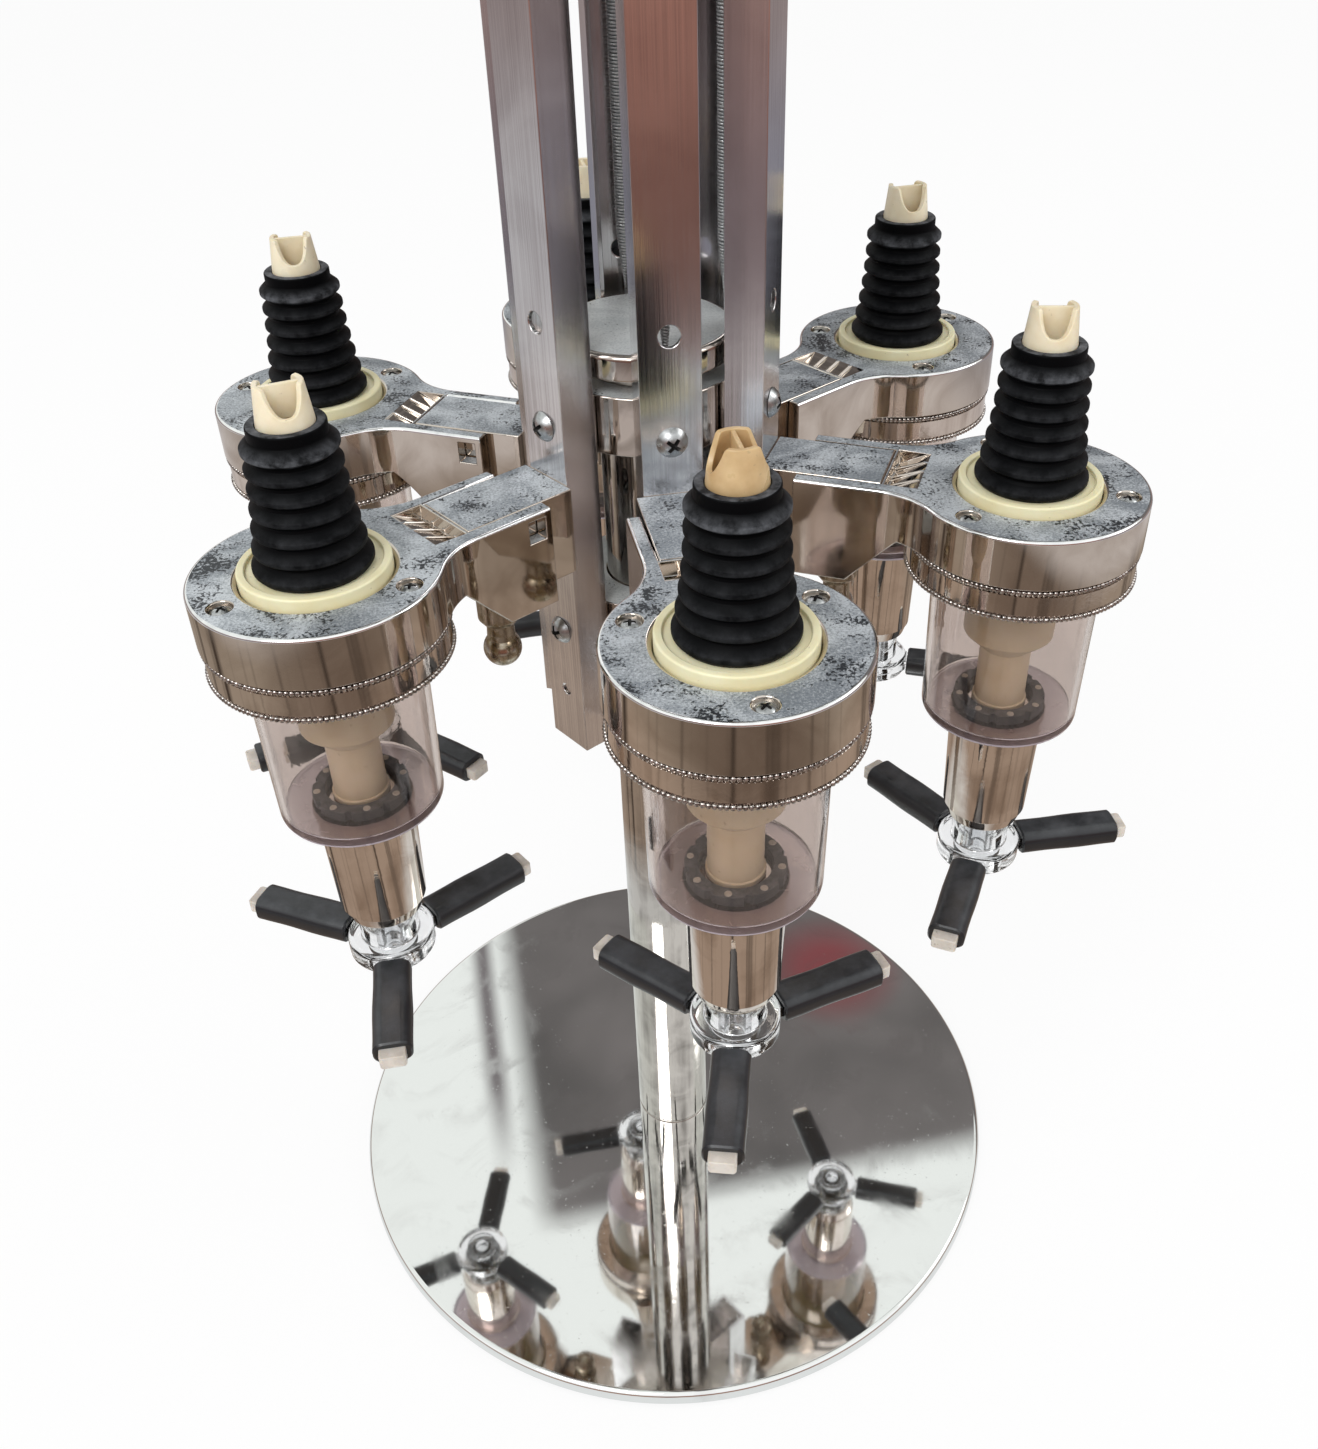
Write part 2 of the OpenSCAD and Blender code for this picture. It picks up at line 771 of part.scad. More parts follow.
module rail_screws() {
  color("lightgray") at_all_stations() {
    for (z = [upper_screw_z, lower_screw_z, top_screw_z])
      translate([rail_face_r, 0, z]) rotate([0, 90, 0])
        dome_screw(rail_screw_head_r, rail_screw_head_h, rail_screw_r, rail_screw_len);
    for (k = [0, 1])
      translate([rail_web_r, 0, block_screw_z(k)]) rotate([0, -90, 0])
        dome_screw(rail_screw_head_r, rail_screw_head_h, rail_screw_r, rail_screw_len);
  }
}

module head_screws() {
  color("silver") at_all_measures()
    for (k = [1 : head_screws_per_head])
      rotate([0, 0, k * 360 / head_screws_per_head])
        translate([head_screw_ring_r, 0, arm_top_z - head_screw_sink])
          dome_screw(head_screw_head_r, head_screw_head_h, head_screw_r, head_screw_len);
}

// A ball-ended screw that clamps the fork to its block
module ball_knob() {
  collar_z = arm_root_z - knob_collar_h;
  ball_z = arm_root_z - knob_drop;
  rotate_extrude() {
    polygon([
      [0, collar_z],
      [knob_neck_r, collar_z],
      [knob_collar_r, collar_z + knob_collar_taper],
      [knob_collar_r, arm_root_z],
      [0, arm_root_z]
    ]);
    translate([0, ball_z]) square([knob_neck_r, collar_z - ball_z]);
    translate([0, ball_z]) intersection() {
      circle(knob_ball_r);
      translate([0, -knob_ball_r]) square([knob_ball_r, 2 * knob_ball_r]);
    }
    translate([0, arm_root_z]) square([knob_screw_r, knob_screw_len - loose_gap]);
  }
}

module ball_knobs() {
  color("burlywood") at_all_stations() translate([knob_screw_x, 0, 0]) ball_knob();
}

// Measure

// The cream moulding inside the head: collar above, threaded skirt and inlet nozzle below
module chamber_head() {
  difference() {
    rotate_extrude() {
      translate([0, head_floor_z]) square([collar_r, shelf_z - head_floor_z]);
      translate([collar_r - collar_rim_t, shelf_z]) square([collar_rim_t, collar_step]);
      translate([0, head_floor_z]) square([skirt_r, head_plate_z - head_floor_z]);
      translate([cup_lip_r, cup_top_z])
        square([skirt_r - cup_lip_r, head_floor_z - cup_top_z]);
      translate([0, nozzle_z]) square([nozzle_r, head_floor_z - nozzle_z]);
    }
    translate([0, 0, inlet_seat_z]) cylinder(r = inlet_r + fit_gap, h = shelf_z);
    translate([0, 0, nozzle_z - cut]) cylinder(r = inlet_r - inlet_t, h = shelf_z);
    for (k = [1 : head_screws_per_head])
      rotate([0, 0, k * 360 / head_screws_per_head])
        translate([head_screw_ring_r, 0, arm_top_z - head_screw_sink - head_screw_len - cut])
          cylinder(r = head_screw_r + fit_gap, h = head_screw_len + cut);
  }
}

module chamber_heads() {
  color("cornsilk") at_all_measures() chamber_head();
}

// The knurled ring from inside to outside, with a bead along its top and bottom edges
module knurled_ring() {
  rotate_extrude() {
    translate([cup_lip_r, ring_z]) square([ring_r - cup_lip_r, ring_lip_t]);
    translate([ring_bore_r, ring_z]) square([ring_r - ring_bore_r, ring_h]);
    for (z = [ring_z + ring_bead_inset, ring_top_z - ring_bead_inset])
      translate([ring_r, z]) polygon([
        [-ring_bead_r, 0],
        [0, -ring_bead_r],
        [ring_bead_r, 0],
        [0, ring_bead_r]
      ]);
  }
}

module knurled_rings() {
  color("silver") at_all_measures() knurled_ring();
}

// The clear cup: a tapered wall, a flange on top and a rolled edge at the floor
module cup() {
  in_top_r = cup_r - cup_t;
  in_foot_r = cup_foot_r - cup_t;
  floor_top_z = cup_z + cup_floor_t;
  flange_z = cup_top_z - cup_flange_t;
  rotate_extrude() {
    polygon([
      [cup_foot_r, cup_z + cup_roll_r],
      [cup_r, flange_z],
      [skirt_r - fit_gap, flange_z],
      [skirt_r - fit_gap, cup_top_z],
      [in_top_r, cup_top_z],
      [in_foot_r, floor_top_z],
      [in_foot_r, cup_z + cup_roll_r]
    ]);
    translate([cup_foot_r - cup_roll_r, cup_z + cup_roll_r]) intersection() {
      circle(cup_roll_r);
      translate([0, -cup_roll_r]) square([cup_roll_r, cup_roll_r]);
    }
    translate([cup_hole_r, cup_z])
      square([cup_foot_r - cup_roll_r - cup_hole_r, cup_floor_t]);
  }
}

module cups() {
  color("lavender", 0.5) at_all_measures() cup();
}

// The seal on the cup's floor, scalloped around its edge
module cup_seal() {
  seat_z = cup_z + cup_floor_t;
  difference() {
    tube(neck_r + fit_gap, seal_r, seat_z, seat_z + seal_h);
    for (k = [1 : seal_lugs])
      rotate([0, 0, k * 360 / seal_lugs])
        translate([seal_r, 0, seat_z - cut]) cylinder(r = seal_lug_r, h = seal_h + 2 * cut);
  }
}

module cup_seals() {
  color("dimgray") at_all_measures() cup_seal();
}

// Stopper and inlet

// Radius of rib k, counted from the foot: the ribs swell towards the foot
function rib_r(k) =
  let (rise = (stopper_ribs - 1 - k) / (stopper_ribs - 1))
  (stopper_tip_d + (stopper_foot_d - stopper_tip_d) * rise * rise) / 2;

// Height of rib k's middle
function rib_z(k) = shelf_z + rib_foot_rise + rib_pitch * k;

// Each rib's outline: place along the pitch and depth in the groove, as shares of each
rib_outline_shares = [[-0.5, 1], [-0.32, 0.62], [-0.17, 0.08], [0.1, 0], [0.25, 0.3], [0.42, 0.9]];

module stopper() {
  rib_points = [
    for (k = [0 : stopper_ribs - 1], share = rib_outline_shares)
    let (z = rib_z(k) + share[0] * rib_pitch)
    if (z > shelf_z + fit_gap && z < stopper_top_z - fit_gap)
    [rib_r(k) - share[1] * stopper_groove, z]
  ];
  top_rib_z = rib_z(stopper_ribs - 1) + rib_pitch / 2;
  rotate_extrude() difference() {
    polygon(concat(
      [[0, shelf_z], [rib_r(0) - stopper_groove / 2, shelf_z]],
      rib_points,
      [[stopper_neck_r, top_rib_z], [stopper_neck_r, stopper_top_z], [0, stopper_top_z]]
    ));
    translate([0, shelf_z - cut]) square([inlet_r + fit_gap, stopper_h + 2 * cut]);
  }
}

module stoppers() {
  color([0.1, 0.1, 0.11]) at_all_measures() stopper();
}

// The inlet tip: a tube whose end is cut in two U shapes with a web left between them
module inlet_tip() {
  bore_r = inlet_r - inlet_t;
  cut_z = inlet_top_z - inlet_cut_depth;
  difference() {
    rotate_extrude() difference() {
      polygon([
        [0, inlet_seat_z],
        [inlet_r, inlet_seat_z],
        [inlet_r, inlet_top_z - inlet_cone_h],
        [inlet_r - inlet_draw_in, inlet_top_z],
        [0, inlet_top_z]
      ]);
      translate([0, inlet_seat_z - cut]) square([bore_r, cut_z - inlet_seat_z + cut]);
    }
    for (side = [-1, 1])
      translate([side * (inlet_web_t + inlet_r) / 2, 0, 0]) side_cut(cut_z, bore_r);
  }
}

// One half of the tip's hollow, with the U that opens it to the side
module side_cut(cut_z, bore_r) {
  intersection() {
    union() {
      translate([-inlet_r / 2, -inlet_cut_r, cut_z + inlet_cut_r])
        cube([inlet_r, 2 * inlet_cut_r, inlet_cut_depth]);
      translate([-inlet_r / 2, 0, cut_z + inlet_cut_r]) rotate([0, 90, 0])
        cylinder(r = inlet_cut_r, h = inlet_r);
    }
    translate([-inlet_r / 2, -bore_r, cut_z - cut])
      cube([inlet_r, 2 * bore_r, inlet_cut_depth + 2 * cut]);
  }
}

module inlet_tips() {
  color("moccasin")
  for (i = [1 : stations]) at_measure(i)
    rotate([0, 0, inlet_turns[i - 1] - station_start - station_step * (i - 1)]) inlet_tip();
}

// Valve

// The chromed barrel: threaded neck, narrow guide for the rod, wide bore for spring and boss
module barrel() {
  barrel_r = barrel_d / 2;
  foot_r = barrel_foot_d / 2;
  groove_z = barrel_z + barrel_cone_h;
  rotate_extrude() polygon([
    [rod_d / 2 + run_gap, guide_z],
    [rod_d / 2 + run_gap, neck_top_z],
    [neck_r, neck_top_z],
    [neck_r, cup_z],
    [barrel_r, cup_z],
    [barrel_r, cup_z - barrel_collar_h],
    [barrel_r - barrel_groove, cup_z - barrel_collar_h],
    [foot_r, groove_z + barrel_groove],
    [foot_r - barrel_groove, groove_z],
    [foot_r - barrel_tip_draw_in, barrel_z],
    [barrel_bore_r, barrel_z],
    [barrel_bore_r, guide_z]
  ]);
}

module barrels() {
  color("silver") at_all_measures() barrel();
}

// The hollow stem: head that shuts the inlet, foot that shuts the outlet, rod and spindle
module stem() {
  head_r0 = stem_head_d / 2;
  rod_r = rod_d / 2;
  stem_r = stem_d / 2;
  neck_z = stem_foot_z + stem_foot_h;
  cone_z = stem_head_z - stem_cone_h;
  difference() {
    rotate_extrude() {
      polygon([
        [0, stem_end_z - stem_end_h],
        [stem_end_r, stem_end_z - stem_end_h],
        [stem_end_r, stem_end_z],
        [spindle_d / 2, stem_end_z],
        [spindle_d / 2, spindle_top_z],
        [rod_r, spindle_top_z],
        [rod_r, stem_foot_z],
        [stem_r + stem_foot_flare, stem_foot_z],
        [stem_r + stem_foot_flare, neck_z],
        [stem_r, neck_z],
        [stem_r, cone_z],
        [head_r0, stem_head_z],
        [head_r0, stem_top_z - stem_head_roll_r],
        [head_r0 - stem_head_roll_r, stem_top_z],
        [0, stem_top_z]
      ]);
      translate([head_r0 - stem_head_roll_r, stem_top_z - stem_head_roll_r])
        circle(stem_head_roll_r);
    }
    translate([0, 0, stem_end_z - stem_end_h - cut])
      cylinder(r = outlet_d / 2, h = port_z + 2 * port_r - stem_end_z + stem_end_h + cut);
    for (turn = [0, 90])
      rotate([0, 0, turn]) translate([-rod_r - cut, 0, port_z]) rotate([0, 90, 0])
        cylinder(r = port_r, h = rod_d + 2 * cut);
  }
}

// The spring that pushes the lever down again, drawn as its outer and inner limits
module return_springs() {
  color("gray") at_all_measures()
    tube(return_spring_r - return_spring_t, return_spring_r, boss_top_z + loose_gap, guide_z);
}

// Lever

module turned_lever(i) {
  at_measure(i) rotate([0, 0, lever_turns[i - 1]]) children();
}

// The clear push lever: boss, flange and three bars
module spider() {
  difference() {
    union() {
      rotate_extrude() {
        translate([0, lever_z]) square([lever_boss_r, boss_top_z - lever_z]);
        intersection() {
          translate([-lever_flange_r, lever_z])
            round_rect([lever_flange_d, lever_flange_t], lever_fillet_r);
          translate([0, lever_z]) square([lever_flange_r, lever_flange_t]);
        }
      }
      for (k = [0 : lever_bars - 1])
        rotate([0, 0, k * 360 / lever_bars]) lever_bar();
    }
    translate([0, 0, lever_z - cut])
      cylinder(r = spindle_d / 2 + run_gap, h = boss_top_z - lever_z + 2 * cut);
  }
}

module lever_bar() {
  translate([0, 0, bar_z - bar_h / 2])
    linear_extrude(bar_h) polygon([
      [lever_boss_r, -bar_w / 2],
      [lever_r - bar_chamfer, -bar_w / 2],
      [lever_r, bar_chamfer - bar_w / 2],
      [lever_r, bar_w / 2 - bar_chamfer],
      [lever_r - bar_chamfer, bar_w / 2],
      [lever_boss_r, bar_w / 2]
    ]);
}

// Three rubber sleeves pushed over the bars
module sleeves() {
  for (k = [0 : lever_bars - 1])
    rotate([0, 0, k * 360 / lever_bars])
      translate([sleeve_start_r, 0, bar_z]) rotate([90, 0, 90])
        linear_extrude(sleeve_end_r - sleeve_start_r) difference() {
          translate([-sleeve_w / 2, -sleeve_h / 2])
            round_rect([sleeve_w, sleeve_h], sleeve_round_r);
          square([bar_w + 2 * fit_gap, bar_h + 2 * fit_gap], center = true);
        }
}

// Bottle clamp

// The carriage seen from above: a sleeve around the rail
module carriage_plan() {
  difference() {
    translate([carriage_in_r, -carriage_w / 2])
      round_rect([carriage_out_r - carriage_in_r, carriage_w], carriage_roll_r);
    translate([rail_in_r - loose_gap, -rail_w / 2 - loose_gap])
      square([rail_d + 2 * loose_gap, rail_w + 2 * loose_gap]);
  }
}

module clamp() {
  color([0.13, 0.13, 0.14])
  difference() {
    union() {
      translate([0, 0, clamp_z]) linear_extrude(carriage_h) carriage_plan();
      // Tongue inside the channel, which the spring hooks into
      translate([rail_in_r - loose_gap - carriage_t / 2, -tongue_w / 2, tongue_z])
        cube([tongue_r - rail_in_r + loose_gap + carriage_t / 2, tongue_w, tongue_h]);
      // Arm with its gusset
      side_plate(clamp_arm_w) polygon([
        [carriage_out_r - carriage_roll_r, clamp_web_z],
        [station_r - clamp_cup_r, clamp_plate_z],
        [station_r, clamp_plate_z],
        [station_r, clamp_arm_z + clamp_arm_t],
        [carriage_out_r - carriage_roll_r, clamp_arm_z + clamp_arm_t]
      ]);
      translate([station_r, 0, 0]) rotate_extrude() {
        translate([0, clamp_plate_z]) square([clamp_cup_r, clamp_cup_t]);
        translate([clamp_cup_r - clamp_cup_t, clamp_cup_z])
          square([clamp_cup_t, clamp_cup_depth]);
        translate([0, clamp_arm_z]) square([clamp_arm_w / 2, clamp_arm_t]);
      }
    }
    translate([spring_x, 0, tongue_z - cut]) cylinder(r = spring_hole_r, h = spring_hook + cut);
  }
}

// Tension spring: one unbroken wire along the middle, out to the coil and back again

spring_foot_z = upper_hub_top - spring_hook + loose_gap;
spring_head_z = tongue_z + spring_hook - loose_gap;
coil_foot_z = upper_hub_top + spring_tail;
coil_head_z = tongue_z - spring_tail / 2;
coil_rings = spring_curls * rings_per_curl;

// Share of the coil's radius at ring k: none on the tails, full one turn in
function coil_share(k) =
  min(1, min(k, coil_rings - k) / rings_per_curl);

function coil_point(k) =
  let (turn = k * 360 / rings_per_curl, r = coil_r * coil_share(k))
  [r * cos(turn), r * sin(turn), coil_foot_z + (coil_head_z - coil_foot_z) * k / coil_rings];

spring_path = concat(
  [[0, 0, spring_foot_z], [0, 0, spring_foot_z + wire_d]],
  [for (k = [0 : coil_rings]) coil_point(k)],
  [[0, 0, spring_head_z - wire_d], [0, 0, spring_head_z]]
);

function unit(v) = v / norm(v);

// Direction of the path at point k
function path_way(path, k) =
  unit(path[min(k + 1, len(path) - 1)] - path[max(k - 1, 0)]);

// Direction across the wire at ring k: it turns with the coil and is square to the path
function ring_side(path, k) =
  let (
    turn = min(max(k - 2, 0), coil_rings) * 360 / rings_per_curl,
    out = [cos(turn), sin(turn), 0],
    way = path_way(path, k)
  )
  unit(out - (out * way) * way);

function ring_points(path, k) =
  let (side = ring_side(path, k), up = cross(path_way(path, k), side))
  [for (s = [0 : wire_sides - 1])
    path[k] + wire_r * (cos(s * 360 / wire_sides) * side + sin(s * 360 / wire_sides) * up)];

// A closed tube through the rings, in triangles
module wire(path) {
  rings = len(path);
  points = [for (k = [0 : rings - 1]) each ring_points(path, k)];
  walls = [
    for (k = [0 : rings - 2], s = [0 : wire_sides - 1])
    let (
      a = k * wire_sides + s,
      b = k * wire_sides + (s + 1) % wire_sides
    )
    each [[a, a + wire_sides, b], [b, a + wire_sides, b + wire_sides]]
  ];
  last = (rings - 1) * wire_sides;
  ends = [for (s = [1 : wire_sides - 2]) each [[0, s, s + 1], [last, last + s + 1, last + s]]];
  polyhedron(points, concat(walls, ends));
}

module tension_spring() {
  color("gray") translate([spring_x, 0, 0]) wire(spring_path);
}

// Least gap of the wire to itself, measured between points half a turn or more apart
spring_self_gap = min([
  for (k = [rings_per_curl : coil_rings - rings_per_curl])
    for (m = [k + rings_per_curl / 2 : 1 : min(k + 3 * rings_per_curl, coil_rings)])
      norm(coil_point(k) - coil_point(m))
]) - wire_d;
echo(spring_self_gap = spring_self_gap);

// Drawing

base_disc();
base_weight();
base_pad();
pole();
base_bolt();
pivot_plug();
upper_hub();
lower_hub();
hub_cap();
rails();
top_plate();
lift_knob();
mounting_blocks();
rail_screws();
head_screws();
ball_knobs();
chamber_heads();
knurled_rings();
cups();
stoppers();
inlet_tips();
cup_seals();
barrels();
return_springs();
for (i = [1 : stations]) {
  at_station(i) arm();
  at_station(i) tension_spring();
  color("ivory") at_measure(i) stem();
  color("whitesmoke") turned_lever(i) spider();
  color("black") turned_lever(i) sleeves();
  at_station(i) clamp();
}
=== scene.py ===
import math

import bmesh
import bpy
from mathutils import Matrix, Vector


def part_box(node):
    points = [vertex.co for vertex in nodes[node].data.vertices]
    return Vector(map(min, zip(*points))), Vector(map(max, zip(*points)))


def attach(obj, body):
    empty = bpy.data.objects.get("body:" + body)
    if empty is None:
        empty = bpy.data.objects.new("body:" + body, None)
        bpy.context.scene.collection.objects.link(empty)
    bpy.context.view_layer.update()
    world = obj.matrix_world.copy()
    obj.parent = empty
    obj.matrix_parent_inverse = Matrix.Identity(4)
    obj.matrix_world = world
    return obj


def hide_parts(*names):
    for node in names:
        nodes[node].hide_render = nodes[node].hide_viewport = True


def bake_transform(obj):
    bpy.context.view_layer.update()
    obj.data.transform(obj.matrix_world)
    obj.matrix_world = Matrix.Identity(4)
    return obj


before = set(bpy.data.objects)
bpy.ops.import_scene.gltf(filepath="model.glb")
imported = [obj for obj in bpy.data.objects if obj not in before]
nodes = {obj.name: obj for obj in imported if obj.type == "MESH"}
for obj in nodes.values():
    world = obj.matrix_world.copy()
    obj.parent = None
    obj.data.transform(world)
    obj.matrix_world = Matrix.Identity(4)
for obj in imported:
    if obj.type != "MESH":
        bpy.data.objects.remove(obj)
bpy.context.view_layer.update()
scene = bpy.context.scene
mm = 0.001
square = ((-1, -1), (1, -1), (1, 1), (-1, 1))
print("frame loaded:", len(nodes), "nodes")

# The cage: six stations round the pole, and station 1 faces the camera
cage = {"stations": 6, "firstTurn": -90.0, "stationR": 102.0}
stationNumbers = range(1, cage["stations"] + 1)


def stationTurn(i):
    return math.radians(cage["firstTurn"] + 360 / cage["stations"] * (i - 1))


def atStation(i, out=0.0, up=0.0):
    # a piece drawn on the axis moves out (mm) along its station's own +X
    return Matrix.Rotation(stationTurn(i), 4, "Z") @ Matrix.Translation((out * mm, 0, up * mm))


measures = [atStation(i, cage["stationR"]) for i in stationNumbers]


def nearestMeasure(point):
    return min((place.translation for place in measures), key=lambda at: (point - at).to_2d().length)


# Colours and nodes
def toLinear(hexColour):
    # sRGB hex to the linear values that a shader takes
    parts = [int(hexColour[k:k + 2], 16) / 255 for k in (1, 3, 5)]
    return tuple(c / 12.92 if c <= 0.04045 else ((c + 0.055) / 1.055) ** 2.4 for c in parts) + (1.0,)


def setInputs(tree, node, inputs):
    # an input is a plain value or another node's output
    for name, value in inputs.items():
        if isinstance(value, bpy.types.NodeSocket):
            tree.links.new(value, node.inputs[name])
        else:
            node.inputs[name].default_value = value


def addNode(tree, kind, inputs=None, **settings):
    node = tree.nodes.new(kind)
    for name, value in settings.items():
        setattr(node, name, value)
    setInputs(tree, node, inputs or {})
    return node


def addMath(tree, operation, *values, **settings):
    return addNode(tree, "ShaderNodeMath", dict(enumerate(values)), operation=operation,
                   **settings).outputs[0]


def addStep(tree, value, start, end, low=0.0, high=1.0):
    # low up to start, high from end on
    return addNode(tree, "ShaderNodeMapRange", {0: value, 1: start, 2: end, 3: low, 4: high}).outputs[0]


def addMix(tree, share, low, high):
    # a colour between two, which are hex colours or sockets
    low, high = (c if isinstance(c, bpy.types.NodeSocket) else toLinear(c) for c in (low, high))
    return addNode(tree, "ShaderNodeMix", {0: share, 6: low, 7: high}, data_type="RGBA").outputs[2]


def addNoise(tree, place, sizeMm, detail, roughness=0.5, bend=0.0):
    # noise whose features have about that size
    return addNode(tree, "ShaderNodeTexNoise", {"Vector": place, "Scale": 1 / (sizeMm * mm), "Detail": detail,
                   "Roughness": roughness, "Distortion": bend}).outputs[0]


def addSqueeze(tree, place, stretch):
    # the pattern runs long along the object's height
    return addNode(tree, "ShaderNodeMapping", {"Vector": place, "Scale": (1, 1, stretch)}).outputs[0]


def addBump(tree, height, strength, depthMm):
    return addNode(tree, "ShaderNodeBump", {"Height": height, "Strength": strength,
                   "Distance": depthMm * mm}).outputs[0]


def addUpward(tree, normal):
    # 1 where a face looks straight up
    looking = addNode(tree, "ShaderNodeNewGeometry").outputs[normal]
    return addNode(tree, "ShaderNodeSeparateXYZ", {0: looking}).outputs["Z"]


def emptyTree(owner):
    owner.use_nodes = True
    owner.node_tree.nodes.clear()
    return owner.node_tree


def startMaterial(name):
    material = bpy.data.materials.new(name)
    tree = emptyTree(material)
    shader = addNode(tree, "ShaderNodeBsdfPrincipled")
    addNode(tree, "ShaderNodeOutputMaterial", {"Surface": shader.outputs[0]})
    return material, tree, shader, addNode(tree, "ShaderNodeTexCoord").outputs["Object"]


def makePolishedChrome(name, light, dark):
    # Bright chrome plate on pressed steel: a clean mirror, dulled where a cloth left swirls and dust
    s = {"swirlMm": 42, "swirlBend": 2.6, "haze": (0.48, 0.72), "wipeMm": 66, "wipeBend": 9.0, "dustMm": 1.1,
         "dust": (0.68, 0.76, 0.0, 0.12), "rough": 0.035, "wipeRough": 0.07, "rippleMm": 90,
         "rippleDepth": 0.4}
    material, tree, shader, place = startMaterial(name)
    haze = addStep(tree, addNoise(tree, place, s["swirlMm"], 5.0, 0.55, s["swirlBend"]), *s["haze"])
    wipe = addNode(tree, "ShaderNodeTexWave", {"Vector": place, "Scale": 1 / (s["wipeMm"] * mm),
                   "Distortion": s["wipeBend"], "Detail": 3.0, "Detail Scale": 0.6}, wave_type="RINGS")
    streak = addMath(tree, "MULTIPLY", haze, wipe.outputs["Fac"])
    dust = addStep(tree, addNoise(tree, place, s["dustMm"], 2.0), *s["dust"])
    rough = addMath(tree, "MULTIPLY_ADD", streak, s["wipeRough"], s["rough"])
    setInputs(tree, shader, {
        "Base Color": addMix(tree, streak, light, dark), "Roughness": addMath(tree, "ADD", rough, dust),
        "Normal": addBump(tree, addNoise(tree, place, s["rippleMm"], 1.0), 0.06, s["rippleDepth"]),
        "Metallic": 1.0})
    return material


def makeTurnedChrome(name, light, dark):
    # Chrome plate on turned brass: rings, barrels and pole, with faint handling marks and vertical wipes
    s = {"wipeMm": 3.5, "stretch": 0.08, "markMm": 14, "markBend": 0.8, "markDepth": 0.4, "worn": (0.2, 0.42),
         "rough": (0.035, 0.15)}
    material, tree, shader, place = startMaterial(name)
    wipe = addNoise(tree, addSqueeze(tree, place, s["stretch"]), s["wipeMm"], 4.0)
    mark = addNoise(tree, place, s["markMm"], 5.0, bend=s["markBend"])
    both = addMath(tree, "MULTIPLY", wipe, mark)
    setInputs(tree, shader, {
        "Base Color": addMix(tree, addStep(tree, both, *s["worn"]), light, dark),
        "Roughness": addStep(tree, both, *s["worn"], *s["rough"]),
        "Normal": addBump(tree, mark, 0.2, s["markDepth"]), "Metallic": 1.0})
    return material


def makePittedChrome(name, tops, sides, sideRough, pitFrom):
    # Chrome plate on a die casting: flat tops gone grey, grainy and pitted, everything else still bright
    s = {"topNormal": (0.985, 0.998), "pitMm": 0.85, "patchMm": 12, "patchWeight": 1.3, "pitSoft": 0.08,
         "pitColour": "#33373C", "hazeMm": 18, "cloud": (0.35, 0.68), "grainMm": 0.62, "cloudWeight": 0.3,
         "mottle": (0.5, 0.8), "topRough": (0.3, 0.7, 0.26, 0.5), "topMetal": 0.3, "pitRelief": -0.7,
         "depth": 0.12}
    material, tree, shader, place = startMaterial(name)
    top = addStep(tree, addUpward(tree, "True Normal"), *s["topNormal"])
    pit = addNoise(tree, place, s["pitMm"], 3.0, 0.6, 0.3)
    patch = addNoise(tree, place, s["patchMm"], 4.0, 0.65)
    grain = addNoise(tree, place, s["grainMm"], 3.0, 0.75)
    # pits gather in patches: a high patch value lowers the level at which a pit shows
    spots = addMath(tree, "MULTIPLY_ADD", patch, s["patchWeight"], pit)
    pitTop = addMath(tree, "MULTIPLY", addStep(tree, spots, pitFrom, pitFrom + s["pitSoft"]), top)
    clouded = addStep(tree, addNoise(tree, place, s["hazeMm"], 5.0, bend=1.2), *s["cloud"])
    mottled = addStep(tree, addMath(tree, "MULTIPLY_ADD", clouded, s["cloudWeight"], grain), *s["mottle"])
    speckled = addMix(tree, pitTop, addMix(tree, mottled, *tops), s["pitColour"])
    rough = addNode(tree, "ShaderNodeMix", {0: top, 2: addStep(tree, clouded, 0.0, 1.0, *sideRough),
                    3: addStep(tree, grain, *s["topRough"])})
    relief = addMath(tree, "MULTIPLY", pitTop, s["pitRelief"])
    height = addMath(tree, "ADD", relief, addMath(tree, "MULTIPLY", grain, top))
    setInputs(tree, shader, {
        "Base Color": addMix(tree, top, addMix(tree, clouded, *sides), speckled),
        "Roughness": rough.outputs[0], "Metallic": addStep(tree, top, 0.0, 1.0, 1.0, s["topMetal"]),
        "Normal": addBump(tree, height, 0.5, s["depth"])})
    return material


def makeBrushedAluminium(name, light, dark):
    # Satin anodised extrusion: fine die lines along the rail, which stretch every reflection lengthways
    s = {"lineMm": 0.55, "stretch": 0.004, "stainMm": 26, "stainBend": 0.7, "lines": (0.3, 0.7),
         "rough": (0.12, 0.22), "shade": (0.15, 0.4), "depth": 0.05}
    material, tree, shader, place = startMaterial(name)
    line = addNoise(tree, addSqueeze(tree, place, s["stretch"]), s["lineMm"], 3.0, 0.7)
    stain = addNoise(tree, place, s["stainMm"], 5.0, bend=s["stainBend"])
    shade = addStep(tree, addMath(tree, "MULTIPLY", line, stain), *s["shade"])
    setInputs(tree, shader, {
        "Base Color": addMix(tree, shade, light, dark),
        "Roughness": addStep(tree, line, *s["lines"], *s["rough"]),
        "Normal": addBump(tree, line, 0.22, s["depth"]), "Metallic": 1.0})
    return material


